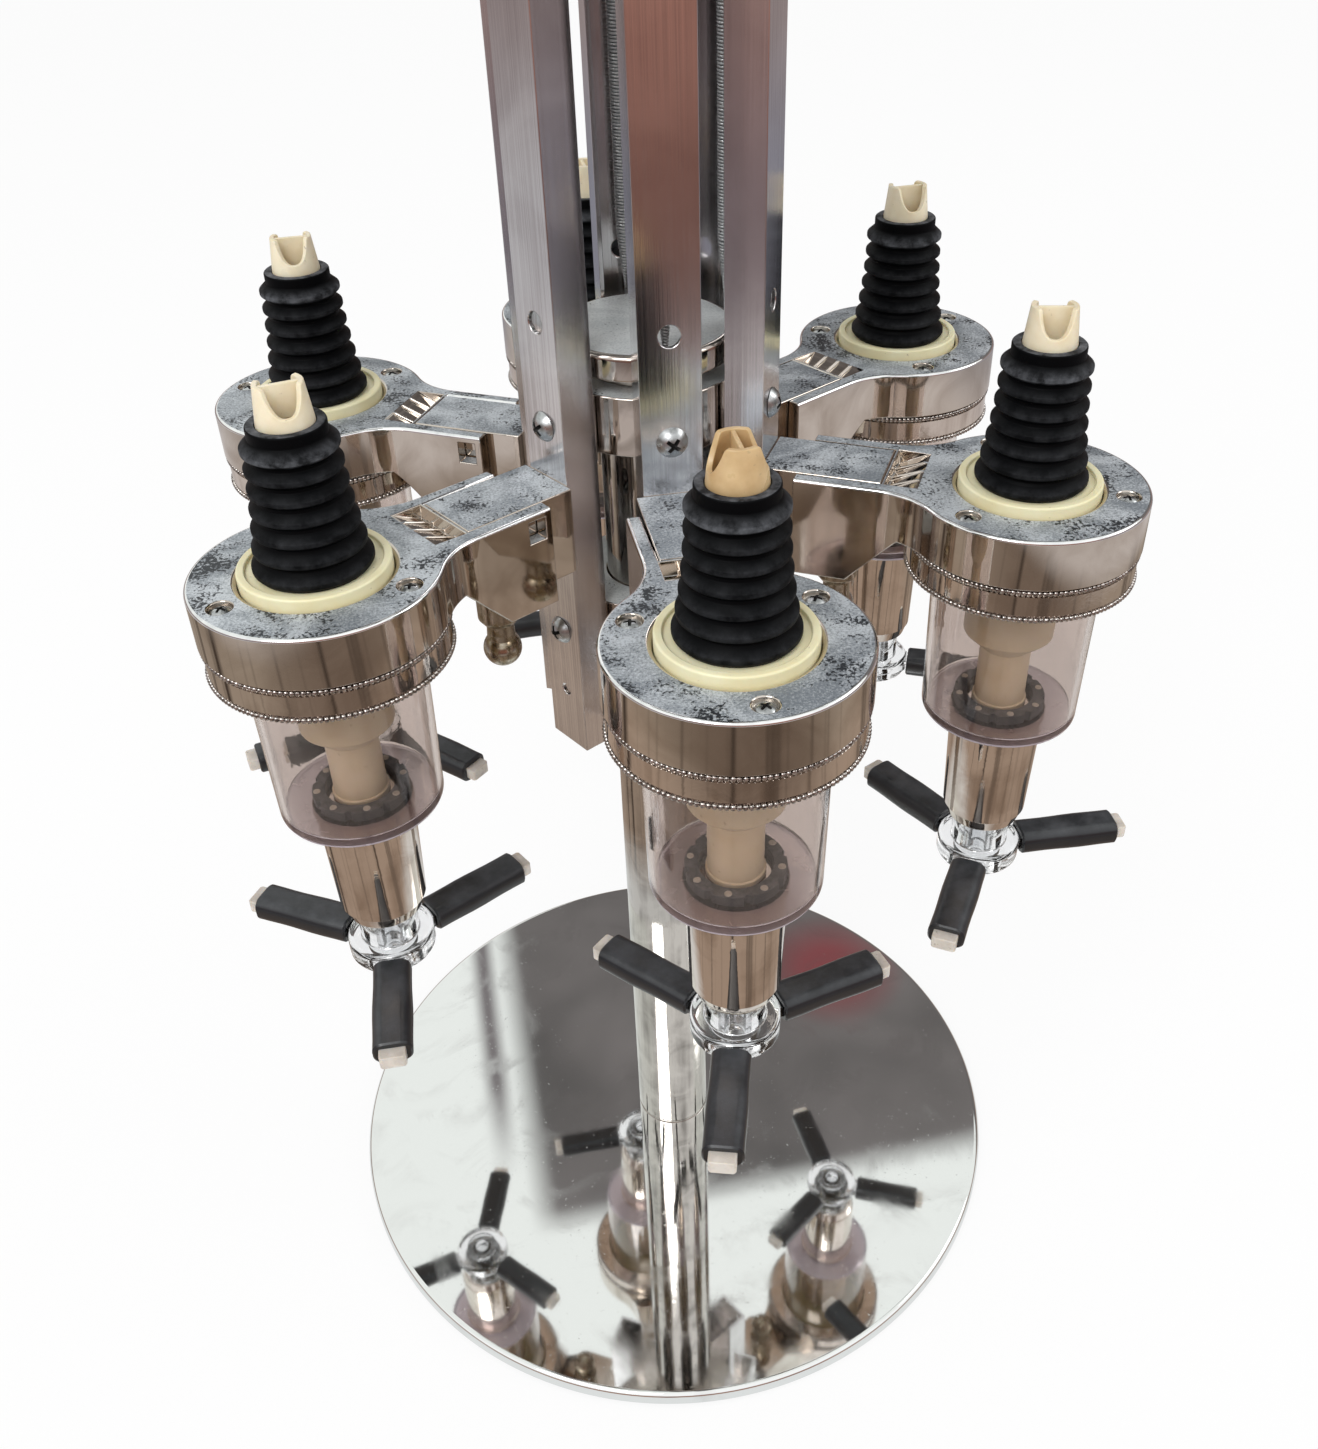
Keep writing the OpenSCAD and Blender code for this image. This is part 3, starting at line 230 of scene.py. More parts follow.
def makeSpeckled(name, light, dark, sizeMm, rough, metallic, bumpMm):
    # One noise drives colour, gloss and relief together; the callers say which finish it is
    s = {"speck": (4.0, 0.6, 0.4), "spread": (0.34, 0.66), "relief": 0.4}
    material, tree, shader, place = startMaterial(name)
    noise = addNoise(tree, place, sizeMm, *s["speck"])
    share = addStep(tree, noise, *s["spread"])
    setInputs(tree, shader, {
        "Base Color": addMix(tree, share, light, dark), "Roughness": addStep(tree, share, 0.0, 1.0, *rough),
        "Normal": addBump(tree, noise, s["relief"], bumpMm), "Metallic": metallic})
    return material


def makeDustyRubber(name, base, dusty, rough, scuffMm, grainMm, dustFrom, film, sheen):
    # Moulded rubber: nearly black and dull, with pale dust on what faces up and on the worn crests of ribs
    s = {"dustTo": 0.95, "scuff": (0.38, 0.72, 0.1, 1.0), "film": (0.5, 0.8, 0.0, film), "depth": 0.08}
    material, tree, shader, place = startMaterial(name)
    noise, upward = addNoise(tree, place, scuffMm, 5.0, 0.65), addUpward(tree, "Normal")
    crest = addNode(tree, "ShaderNodeAttribute", attribute_name="crest").outputs["Fac"]
    worn = addMath(tree, "MAXIMUM", addStep(tree, upward, dustFrom, s["dustTo"]), crest)
    dust = addMath(tree, "MULTIPLY", worn, addStep(tree, noise, *s["scuff"]))
    both = addMath(tree, "ADD", dust, addStep(tree, noise, *s["film"]), use_clamp=True)
    setInputs(tree, shader, {
        "Base Color": addMix(tree, both, base, dusty), "Roughness": addStep(tree, both, 0.0, 1.0, *rough),
        "Normal": addBump(tree, addNoise(tree, place, grainMm, 2.0), 0.35, s["depth"]),
        "Specular IOR Level": sheen})
    return material


def makeMoulded(name, light, dark, rough, glow, mottleMm, speckMm):
    # Moulded thermoplastic: even colour with faint mottling, a soft satin skin and light just under it
    s = {"mottle": (0.35, 0.7), "dirt": (0.7, 0.78, 0.0, 0.5), "dirtColour": "#8A7B62", "gloss": (0.3, 0.7),
         "depth": 0.06, "glowMm": 2, "glowColour": (1.0, 0.7, 0.4)}
    material, tree, shader, place = startMaterial(name)
    mottle, speck = addNoise(tree, place, mottleMm, 4.0), addNoise(tree, place, speckMm, 2.0)
    base = addMix(tree, addStep(tree, mottle, *s["mottle"]), light, dark)
    setInputs(tree, shader, {
        "Base Color": addMix(tree, addStep(tree, speck, *s["dirt"]), base, s["dirtColour"]),
        "Roughness": addStep(tree, mottle, *s["gloss"], *rough),
        "Normal": addBump(tree, speck, 0.12, s["depth"]), "Subsurface Weight": glow,
        "Subsurface Radius": s["glowColour"], "Subsurface Scale": s["glowMm"] * mm})
    return material


def makeClear(name, tint, rough, smearMm, through=1.0):
    # Clear moulded styrene: glassy walls with a faint tint and smears; light passes it without a caustic
    s = {"smear": (0.5, 0.78), "smearBend": 1.0, "depth": 0.3, "styreneIor": 1.49}
    material, tree, shader, place = startMaterial(name)
    smear = addNoise(tree, place, smearMm, 4.0, bend=s["smearBend"])
    setInputs(tree, shader, {
        "Base Color": toLinear(tint), "Roughness": addStep(tree, smear, *s["smear"], *rough),
        "Normal": addBump(tree, smear, 0.08, s["depth"]), "IOR": s["styreneIor"],
        "Transmission Weight": through})
    shadowRay = addNode(tree, "ShaderNodeLightPath").outputs["Is Shadow Ray"]
    passing = addNode(tree, "ShaderNodeBsdfTransparent", {"Color": toLinear(tint)})
    both = addNode(tree, "ShaderNodeMixShader", {0: shadowRay, 1: shader.outputs[0], 2: passing.outputs[0]})
    setInputs(tree, [n for n in tree.nodes if n.type == "OUTPUT_MATERIAL"][0], {"Surface": both.outputs[0]})
    return material


finishes = {
    "discChrome": makePolishedChrome("polishedChromePlate", "#F4F5F4", "#E6E6E5"),
    "turnedChrome": makeTurnedChrome("turnedChromePlate", "#DFD5CC", "#BDB0A5"),
    # rounded rims of the arms in near-white chrome: a painted highlight along the top edges
    "rimChrome": makeTurnedChrome("paintedHighlightRimChrome", "#FFFFFF", "#E4E6E8"),
    "poleChrome": makeTurnedChrome("poleChromePlate", "#C6C1BB", "#8E8984"),
    "pittedChrome": makePittedChrome("pittedChromeCasting", ("#868D94", "#D3D9DE"), ("#DDD5CC", "#C0B5AA"),
                                     (0.04, 0.11), 1.24),
    "railAluminium": makeBrushedAluminium("satinAnodisedAluminium", "#EDECED", "#CFCBCC"),
    # hubs and cap: near-white tops, painted light against the shade of the cage, with darker chrome round
    # them, partly painted shade
    "hubCasting": makePittedChrome("paintedLightTopCasting", ("#D6DCDD", "#F6FAFA"), ("#CFC6BE", "#A59C94"),
                                   (0.06, 0.14), 1.4),
    # chrome beads, darkened with brown speckles: painted shade for the gaps between them
    "beadChrome": makeSpeckled("beadChromePlate", "#E6DFDA", "#5E5751", 0.7, (0.08, 0.2), 1.0, 0.02),
    # bright zinc plate of machine screws
    "zincScrew": makeSpeckled("brightZincPlate", "#CED0D1", "#A6A8A9", 1.4, (0.24, 0.4), 1.0, 0.03),
    # near-black finish in the cross recesses of the screws: painted shade
    "recessPaintedShade": makeSpeckled("recessPaintedShade", "#3B3A39", "#1E1D1C", 0.8, (0.5, 0.7), 0.4, 0.03),
    # nickel plate worn down to brass on the clamp screws
    "wornNickel": makeSpeckled("wornNickelOnBrass", "#BDB4A6", "#8C7B5B", 3.2, (0.16, 0.34), 1.0, 0.04),
    # drawn spring wire
    "springWire": makeSpeckled("drawnSpringWire", "#E6E8E8", "#C2C5C6", 1.6, (0.24, 0.38), 0.7, 0.02),
    # rough grey iron of the hidden weight
    "castIron": makeSpeckled("sandCastIron", "#4A4A4C", "#313133", 1.8, (0.55, 0.75), 0.6, 0.3),
    # glass-filled nylon of clamps and knob
    "blackNylon": makeSpeckled("blackFilledNylon", "#242428", "#151517", 0.9, (0.36, 0.5), 0.0, 0.06),
    "stopperRubber": makeDustyRubber("ribbedStopperRubber", "#040507", "#74767B", (0.5, 0.85), scuffMm=4.0,
                                     grainMm=0.4, dustFrom=0.8, film=0.0, sheen=0.07),
    "sleeveRubber": makeDustyRubber("leverSleeveRubber", "#1C1E22", "#45474B", (0.28, 0.5), scuffMm=9.0,
                                    grainMm=0.5, dustFrom=0.5, film=0.08, sheen=0.6),
    "padRubber": makeDustyRubber("basePadRubber", "#1C1C1E", "#38383A", (0.6, 0.8), scuffMm=9.0,
                                 grainMm=0.8, dustFrom=0.9, film=0.2, sheen=0.3),
    "sealRubber": makeDustyRubber("cupSealRubber", "#3C3D42", "#6C6D72", (0.42, 0.6), scuffMm=3.0,
                                  grainMm=0.5, dustFrom=0.6, film=0.2, sheen=0.4),
    # collars, inlet tips, stems, the pale lugs on the seals and the levers' frosted ends
    "creamPlastic": makeMoulded("creamAbs", "#F7F1CC", "#EFE5B8", (0.3, 0.46), 0.15, mottleMm=9, speckMm=1.2),
    "tipPlastic": makeMoulded("paleCreamAbs", "#F4E8CE", "#E8D8B6", (0.26, 0.4), 0.2, mottleMm=6,
                              speckMm=1.4),
    # station 1's tip: yellowed with age, and darker still as painted shade
    "agedAndShadedPlastic": makeMoulded("agedCreamAbsWithPaintedShade", "#D2B588", "#BC9A6C", (0.26, 0.4), 0.2, mottleMm=6,
                               speckMm=1.4),
    "stemPlastic": makeMoulded("ivoryAcetal", "#EFE3CB", "#E2D2B4", (0.28, 0.4), 0.15, mottleMm=11,
                               speckMm=2.0),
    "sealDot": makeMoulded("paleSealLug", "#C9C4BC", "#B1ACA4", (0.4, 0.5), 0.0, mottleMm=3, speckMm=1.0),
    "leverEnd": makeMoulded("frostedStyreneEnd", "#D9D2C9", "#BDB4AA", (0.2, 0.34), 0.3, mottleMm=4,
                            speckMm=1.2),
    "cupStyrene": makeClear("clearCupStyrene", "#DBD2CD", (0.015, 0.07), 12),
    "cupFoot": makeClear("frostedCupFoot", "#C9BDC6", (0.2, 0.34), 5, 0.45),
    "leverStyrene": makeClear("clearLeverStyrene", "#F3F4F5", (0.04, 0.14), 6),
}
print("materials made:", len(finishes))


# Mesh helpers
def roundCorners(points, steps=4):
    # points run round a closed outline as (radius, height) or (radius, height, corner radius), in mm
    outline = []
    for k, point in enumerate(points):
        here = Vector(point[:2])
        if len(point) < 3:
            outline.append(here)
            continue
        before = (Vector(points[k - 1][:2]) - here).normalized()
        after = (Vector(points[(k + 1) % len(points)][:2]) - here).normalized()
        half = before.angle(after) / 2
        middle = here + (before + after).normalized() * point[2] / math.sin(half)
        arm = here + before * point[2] / math.tan(half) - middle
        last = here + after * point[2] / math.tan(half) - middle
        turn = math.atan2(arm.x * last.y - arm.y * last.x, arm.dot(last))
        outline += [middle + Matrix.Rotation(turn * s / steps, 2) @ arm for s in range(steps + 1)]
    return outline


def joinRings(bm, rings, materialIndex=0):
    # faces from each ring of corners to the next; a ring of one corner closes to a point
    for low, high in zip(rings, rings[1:]):
        for k in range(max(len(low), len(high))):
            corners = [low[k % len(low)], low[(k + 1) % len(low)], high[(k + 1) % len(high)],
                       high[k % len(high)]]
            corners = [v for n, v in enumerate(corners) if v not in corners[:n]]
            if len(corners) > 2:
                bm.faces.new(corners).material_index = materialIndex


def joinBox(bm, corners, materialIndex=0):
    # four corners below and the four above them, in the same order
    for ids in ((3, 2, 1, 0), (4, 5, 6, 7), (0, 1, 5, 4), (1, 2, 6, 5), (2, 3, 7, 6), (3, 0, 4, 7)):
        bm.faces.new([corners[k] for k in ids]).material_index = materialIndex


def revolve(bm, outline, segments, places=(Matrix(),), materialIndex=0):
    # turns a closed outline about Z and sets a copy at each place
    turns = [2 * math.pi * s / segments for s in range(segments)]
    for place in places:
        rings = []
        for r, z in outline:
            spots = [(r * mm * math.cos(t), r * mm * math.sin(t), z * mm) for t in turns]
            if r < 1e-5:
                spots = [(0, 0, z * mm)]
            rings.append([bm.verts.new(place @ Vector(spot)) for spot in spots])
        joinRings(bm, rings + rings[:1], materialIndex)


def copySolids(*names):
    # a merged copy of CAD nodes, with the flat faces made whole again
    s = {"weld": 0.002, "flatAngle": 0.6}
    bm = bmesh.new()
    for name in names:
        bm.from_mesh(nodes[name].data)
    bmesh.ops.remove_doubles(bm, verts=bm.verts, dist=s["weld"] * mm)
    bmesh.ops.dissolve_limit(bm, angle_limit=math.radians(s["flatAngle"]), verts=bm.verts, edges=bm.edges)
    return bm


def cutAcross(bm, point, way):
    # new edges along a plane, so that the faces beyond it can take another finish
    bmesh.ops.bisect_plane(bm, geom=bm.verts[:] + bm.edges[:] + bm.faces[:], plane_co=point, plane_no=way,
                           dist=1e-6)
    for face in bm.faces:
        if (face.calc_center_median() - point).dot(way) > 0:
            face.material_index = 1


def newObject(name, data):
    thing = bpy.data.objects.new(name, data)
    scene.collection.objects.link(thing)
    return thing


def newMesh(name, bm):
    mesh = bpy.data.meshes.new(name)
    bm.to_mesh(mesh)
    bm.free()
    return mesh


def bakeModifier(thing, modifier):
    # the object's mesh with the modifier in it
    bpy.context.view_layer.update()
    thing.data = bpy.data.meshes.new_from_object(thing.evaluated_get(bpy.context.evaluated_depsgraph_get()))
    thing.modifiers.remove(modifier)
    return thing.data


def shadeSoft(mesh, angle):
    mesh.shade_smooth()
    mesh.set_sharp_from_angle(angle=math.radians(angle))


def tiePiece(piece, replaced, body):
    # a blended piece has no body here
    if replaced:
        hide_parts(*replaced)
    if body:
        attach(piece, body)


def makePiece(name, bm, finishNames, body, replaced, bevelMm=0.0, smoothAngle=34):
    # closes the drawing: mesh, finish, edges and the tie to the CAD
    s = {"bevelSteps": 2, "bevelAngle": 32}
    bmesh.ops.recalc_face_normals(bm, faces=bm.faces)
    mesh = newMesh(name, bm)
    for finish in finishNames:
        mesh.materials.append(finishes[finish])
    shadeSoft(mesh, smoothAngle)
    piece = newObject(name, mesh)
    if bevelMm:
        bevel = piece.modifiers.new("softEdges", "BEVEL")
        bevel.width = bevelMm * mm
        bevel.segments = s["bevelSteps"]
        bevel.limit_method = "ANGLE"
        bevel.angle_limit = math.radians(s["bevelAngle"])
        bevel.use_clamp_overlap = False
    piece.modifiers.new("flatShading", "WEIGHTED_NORMAL").keep_sharp = True
    tiePiece(piece, replaced, body)
    return piece


def turnPiece(name, points, segments, finish, body, node, steps=4, places=(Matrix(),)):
    # one turned shape, set at each place
    bm = bmesh.new()
    revolve(bm, roundCorners(points, steps), segments, places)
    makePiece(name, bm, [finish], body, [node])


# Camera
cameraSizes = {"place": (-0.0570, -0.3342, 0.4487), "azimuth": -10.735, "elevation": 36.127, "roll": -1.529,
               "lens": 33.53, "sensor": 36.0, "shift": (-0.0134, -0.0201), "clipStart": 0.01}
s = cameraSizes
azimuth, elevation, roll = (math.radians(s[k]) for k in ("azimuth", "elevation", "roll"))
back = Vector((math.sin(azimuth) * math.cos(elevation), -math.cos(azimuth) * math.cos(elevation),
               math.sin(elevation)))
level = Vector((0, 0, 1)).cross(back).normalized()
upward = back.cross(level)
right = level * math.cos(roll) + upward * math.sin(roll)
above = upward * math.cos(roll) - level * math.sin(roll)
cameraData = bpy.data.cameras.new("viewCamera")
cameraData.lens = s["lens"]
cameraData.sensor_width = s["sensor"]
cameraData.shift_x, cameraData.shift_y = s["shift"]
cameraData.clip_start = s["clipStart"]
viewCamera = newObject("viewCamera", cameraData)
viewCamera.matrix_world = Matrix.Translation(s["place"]) @ Matrix((right, above, back)).transposed().to_4x4()
scene.camera = viewCamera
scene.view_settings.view_transform = "Standard"

# Floor: white to camera and glass, with a faint shadow; metal sees a wooden counter, dark in front and pale
# beside it. Pairs are where a step starts and ends: a distance from the pole in m, or a share of a direction
floorSizes = {"half": 7.0, "drop": 0.0003, "shadowShare": 0.16, "baseR": (0.14, 0.18), "woodR": (0.37, 0.45),
              "clothR": (0.57, 0.62), "roomR": (0.7, 0.95), "farR": (1.3, 2.3), "front": (-0.4, -0.95),
              "left": (-0.3, -0.7), "behind": (-0.1, 0.3), "thingScale": 2.6, "things": (0.52, 0.7)}
s = floorSizes
floorMesh = bpy.data.meshes.new("studioFloor")
floorMesh.from_pydata([(x * s["half"], y * s["half"], -s["drop"]) for x, y in square], [], [(0, 1, 2, 3)])
floorMaterial = bpy.data.materials.new("paleFloor")
tree = emptyTree(floorMaterial)
path = addNode(tree, "ShaderNodeLightPath").outputs
place = addNode(tree, "ShaderNodeTexCoord").outputs["Object"]
reach = addNode(tree, "ShaderNodeVectorMath", {0: place}, operation="LENGTH").outputs["Value"]
spot = addNode(tree, "ShaderNodeSeparateXYZ", {0: place}).outputs
depth = addMath(tree, "DIVIDE", spot["Y"], reach)
front = addStep(tree, depth, *s["front"])
leftward = addStep(tree, addMath(tree, "DIVIDE", spot["X"], reach), *s["left"])
paleLeft = addMath(tree, "MULTIPLY", leftward, addStep(tree, depth, *s["behind"]))
room = addMix(tree, front, addMix(tree, paleLeft, "#85858F", "#BCBABB"), "#6E4D44")
room = addMix(tree, addStep(tree, reach, *s["farR"]), room, addMix(tree, front, "#978A88", "#A27466"))
wood = addMix(tree, addStep(tree, reach, *s["woodR"]), "#AE9C8D", addMix(tree, front, "#A4978A", "#7E6F64"))
things = addNode(tree, "ShaderNodeTexNoise", {"W": addMath(tree, "ARCTAN2", spot["Y"], spot["X"]),
                 "Scale": s["thingScale"], "Detail": 3.0, "Roughness": 0.7}, noise_dimensions="1D").outputs[0]
wood = addMix(tree, addStep(tree, things, *s["things"]), wood, "#4A4039")
wood = addMix(tree, addStep(tree, reach, *s["baseR"]), "#E4E6E6", wood)
wood = addMix(tree, addStep(tree, reach, *s["clothR"]), wood, "#D0CAC8")
counter = addMix(tree, addStep(tree, reach, *s["roomR"]), wood, room)
notGlass = addMath(tree, "SUBTRACT", 1.0, path["Is Transmission Ray"])
mirrored = addMath(tree, "MULTIPLY", path["Is Glossy Ray"], notGlass)
counter = addMix(tree, mirrored, "#FFFFFF", counter)
glow = addNode(tree, "ShaderNodeEmission", {"Color": counter, "Strength": 1.0})
plain = addNode(tree, "ShaderNodeBsdfDiffuse", {"Color": toLinear("#F4F4F4")})
seen = addMath(tree, "MAXIMUM", addMath(tree, "MAXIMUM", path["Is Camera Ray"], path["Is Glossy Ray"]),
               path["Is Transmission Ray"])
share = addMath(tree, "MAXIMUM", addMath(tree, "MULTIPLY", seen, 1 - s["shadowShare"]), mirrored)
mixed = addNode(tree, "ShaderNodeMixShader", {0: share, 1: plain.outputs[0], 2: glow.outputs[0]})
addNode(tree, "ShaderNodeOutputMaterial", {"Surface": mixed.outputs[0]})
floorMesh.materials.append(floorMaterial)
newObject("studioFloor", floorMesh)

# World: even light for the object, white behind it, and a room in the metal: a pale ceiling with a dark
# panel, a door post beside it and a bright wall behind the camera. Across and along are a direction's x/z
# and y/z
worldSizes = {"level": 0.85, "soft": 0.012, "panelLeft": 0.0, "panelNear": 0.65, "post": (-0.034, -0.018),
              "postSoft": 0.006, "postNear": (0.7, 0.8), "warmAt": (0.31, 0.87, 0), "warmR": (0.075, 0.0225),
              "cloudScale": 7.0, "cloud": (0.35, 0.7), "wall": (-0.2, -0.4), "wallEnd": (-3.0, -3.6),
              "lowest": 0.05, "horizon": (0.12, 0.3), "front": (-0.4, -0.95)}
s = worldSizes
scene.world = bpy.data.worlds.new("studioWorld")
tree = emptyTree(scene.world)
path = addNode(tree, "ShaderNodeLightPath").outputs
direction = addNode(tree, "ShaderNodeTexCoord").outputs["Generated"]
way = addNode(tree, "ShaderNodeSeparateXYZ", {0: direction}).outputs
height = addMath(tree, "MAXIMUM", way["Z"], s["lowest"])
across, along = (addMath(tree, "DIVIDE", way[axis], height) for axis in ("X", "Y"))


def addEdge(value, at, soft):
    return addStep(tree, value, at - soft, at + soft)


panel = addMath(tree, "MULTIPLY", addEdge(across, s["panelLeft"], s["soft"]),
                addEdge(along, s["panelNear"], s["soft"]))
post = addMath(tree, "SUBTRACT", *(addEdge(across, at, s["postSoft"]) for at in s["post"]))
post = addMath(tree, "MULTIPLY", post, addStep(tree, along, *s["postNear"]))
spot = addNode(tree, "ShaderNodeCombineXYZ", {0: across, 1: along}).outputs[0]
cloud = addNode(tree, "ShaderNodeTexNoise", {"Vector": spot, "Scale": s["cloudScale"], "Detail": 3.0,
                "Distortion": 0.6}).outputs[0]
warmWay = addNode(tree, "ShaderNodeVectorMath", {0: spot, 1: s["warmAt"]}, operation="DISTANCE")
warm = addStep(tree, warmWay.outputs["Value"], *s["warmR"])
panelColour = addMix(tree, warm, addMix(tree, addStep(tree, cloud, *s["cloud"]), "#5E5B5A", "#7A7574"),
                     "#84494C")
ceiling = addMix(tree, addStep(tree, along, *s["wall"]), "#F1F4F1", "#FFFFFF")
ceiling = addMix(tree, addStep(tree, along, *s["wallEnd"]), ceiling, "#9A8F88")
ceiling = addMix(tree, panel, addMix(tree, post, ceiling, "#6D6668"), panelColour)
low = addMix(tree, addStep(tree, way["Y"], *s["front"]), "#937E76", "#966A5B")
reflected = addMix(tree, addStep(tree, way["Z"], *s["horizon"]), low, ceiling)
direct = addMath(tree, "MAXIMUM", path["Is Camera Ray"], path["Is Transmission Ray"])
shown = addMath(tree, "MAXIMUM", direct, path["Is Glossy Ray"])
skyColour = addMix(tree, shown, "#FFFFFF", addMix(tree, direct, reflected, "#FFFFFF"))
strength = addStep(tree, shown, 0.0, 1.0, s["level"], 1.0)
backdrop = addNode(tree, "ShaderNodeBackground", {"Color": skyColour, "Strength": strength})
addNode(tree, "ShaderNodeOutputWorld", {"Surface": backdrop.outputs[0]})

# Two soft lamps: one over the camera's left shoulder, one from the right; both look at the measures
lampAim = Vector((0, 0, 0.25))
lamps = [{"name": "keyLamp", "place": (-0.9, -1.1, 1.7), "size": 0.9, "power": 14.0},
         {"name": "sideLamp", "place": (1.5, -0.2, 1.3), "size": 0.7, "power": 4.0}]
for lamp in lamps:
    data = bpy.data.lights.new(lamp["name"], "AREA")
    data.size = lamp["size"]
    data.energy = lamp["power"]
    holder = newObject(lamp["name"], data)
    holder.location = lamp["place"]
    holder.rotation_euler = (lampAim - Vector(lamp["place"])).to_track_quat("-Z", "Y").to_euler()
print("camera, floor and light set")

# Stand
baseDisc = {"radius": 119, "top": 6, "sheet": 1.5, "roll": 2, "rimFoot": 1, "hole": 4.1, "segments": 200}
s = baseDisc
inner, under = s["radius"] - s["sheet"], s["top"] - s["sheet"]
turnPiece("pressedBase", [
    (s["hole"], under), (s["hole"], s["top"]), (s["radius"], s["top"], s["roll"]),
    (s["radius"], s["rimFoot"], 0.5), (inner, s["rimFoot"], 0.5), (inner, under, 0.5)],
    s["segments"], "discChrome", "stand", "base_disc", steps=6)

poleSizes = {"radius": 13.25, "bore": 11.75, "foot": 6, "top": 307, "plugTop": 30, "plugBore": 4.1,
             "footRound": 1.0, "segments": 128}
s = poleSizes
turnPiece("chromedPole", [
    (s["plugBore"], s["foot"]), (s["radius"], s["foot"], s["footRound"]), (s["radius"], s["top"], 0.4),
    (s["bore"], s["top"], 0.3), (s["bore"], s["plugTop"]), (s["plugBore"], s["plugTop"], 0.5)],
    s["segments"], "poleChrome", "stand", "pole", steps=3)

# CAD nodes that show as they are, in better finishes
keptNodes = {"base_weight": "castIron", "base_pad": "padRubber", "base_bolt": "zincScrew",
             "pivot_plug": "zincScrew"}
for name, finish in keptNodes.items():
    for materialSlot in nodes[name].material_slots:
        materialSlot.material = finishes[finish]
print("stand made")

# Cage: hubs, cap, rails and top. These solids keep their shape and get round edges
softEdges = {"castHubs": 0.35, "channelRails": 0.22, "topPlate": 0.3, "liftKnob": 0.5, "castArms": 0.3,
             "castBlocks": 0.3, "inletTips": 0.18, "cupSeals": 0.2, "valveStem": 0.2, "pushLever": 0.3,
             "bottleClamp": 0.5}


def keepSolids(name, solids, finish, body, edge):
    makePiece(name, copySolids(*solids), [finish], body, solids, edge)


# the hubs' near-white tops are painted light; their darker chrome sides are partly painted shade
keepSolids("castHubs", ["upper_hub", "lower_hub"], "hubCasting", "cage", softEdges["castHubs"])

hubCap = {"radius": 23.5, "foot": 310, "discFoot": 314, "top": 321, "roll": 1.5, "neckR": 16, "cavityR": 14,
          "cavityTop": 313.1, "segments": 120}
s = hubCap
# the cap takes the same finish: its near-white top is painted light
turnPiece("castCap", [
    (0, s["cavityTop"]), (s["cavityR"], s["cavityTop"]), (s["cavityR"], s["foot"]),
    (s["neckR"], s["foot"], 0.4), (s["neckR"], s["discFoot"], 0.4), (s["radius"], s["discFoot"], 0.8),
    (s["radius"], s["top"], s["roll"]), (0, s["top"])],
    s["segments"], "hubCasting", "cage", "hub_cap", steps=5)
keepSolids("channelRails", ["rails"], "railAluminium", "cage", softEdges["channelRails"])
keepSolids("topPlate", ["top_plate"], "turnedChrome", "cage", softEdges["topPlate"])
keepSolids("liftKnob", ["lift_knob"], "blackNylon", "cage", softEdges["liftKnob"])
print("cage made")

# Arms: the outer edges of their tops are rounded and take a near-white chrome, a painted highlight. The
# collar's bore and the thin wall at the fork's end keep their corners
armSizes = {"top": 289, "rimRound": 0.8, "rimSteps": 4, "boreR": 24, "wallH": 6, "forkEnd": 80,
            "crosswise": 0.9}
s = armSizes
armNames = [f"arm_{i}" for i in stationNumbers]
bm = copySolids(*armNames)
bm.normal_update()
rimEdges = []
for edge in bm.edges:
    walls = [f for f in edge.link_faces if abs(f.normal.z) < 0.1]
    atTop = all(abs(v.co.z / mm - s["top"]) < 0.01 for v in edge.verts)
    if not atTop or len(edge.link_faces) != 2 or len(walls) != 1:
        continue
    middle = (edge.verts[0].co + edge.verts[1].co) / 2
    measure = nearestMeasure(middle)
    out = measure.to_2d().normalized()
    wallH = max(edge.verts[0].co.z - v.co.z for v in walls[0].verts)
    atFork = middle.to_2d().dot(out) < s["forkEnd"] * mm
    thin = atFork and abs(walls[0].normal.to_2d().dot(out)) > s["crosswise"]
    if wallH >= s["wallH"] * mm and (middle - measure).to_2d().length > s["boreR"] * mm and not thin:
        rimEdges.append(edge)
# the rounded rims take finish 1, the white chrome of the painted highlight
bmesh.ops.bevel(bm, geom=rimEdges, offset=s["rimRound"] * mm, segments=s["rimSteps"], profile=0.5,
                affect="EDGES", clamp_overlap=False, material=1)
makePiece("castArms", bm, ["pittedChrome", "rimChrome"], "cage", armNames,
          softEdges["castArms"])
keepSolids("castBlocks", ["mounting_blocks"], "pittedChrome", "cage",
           softEdges["castBlocks"])

ballKnob = {"out": 54, "seat": 261.5, "collarR": 5.65, "collarFoot": 252.5, "taperTop": 255.1, "neckR": 3.75,
            "ballR": 5.2, "ballZ": 245, "ballSteps": 23, "ballStep": 6, "screwR": 2.4, "screwTop": 275.2,
            "segments": 48}
s = ballKnob
ballTurns = [math.radians(s["ballStep"] * k) for k in range(s["ballSteps"])]
bm = bmesh.new()
revolve(bm, [Vector((s["ballR"] * math.sin(t), s["ballZ"] - s["ballR"] * math.cos(t))) for t in ballTurns]
        + roundCorners([
            (s["neckR"], s["collarFoot"], 0.5), (s["collarR"], s["taperTop"], 0.6),
            (s["collarR"], s["seat"], 0.4), (s["screwR"], s["seat"]), (s["screwR"], s["screwTop"]),
            (0, s["screwTop"])]),
        s["segments"], [atStation(i, s["out"]) for i in stationNumbers])
makePiece("ballKnobs", bm, ["wornNickel"], "cage", ["ball_knobs"])
print("arms made")

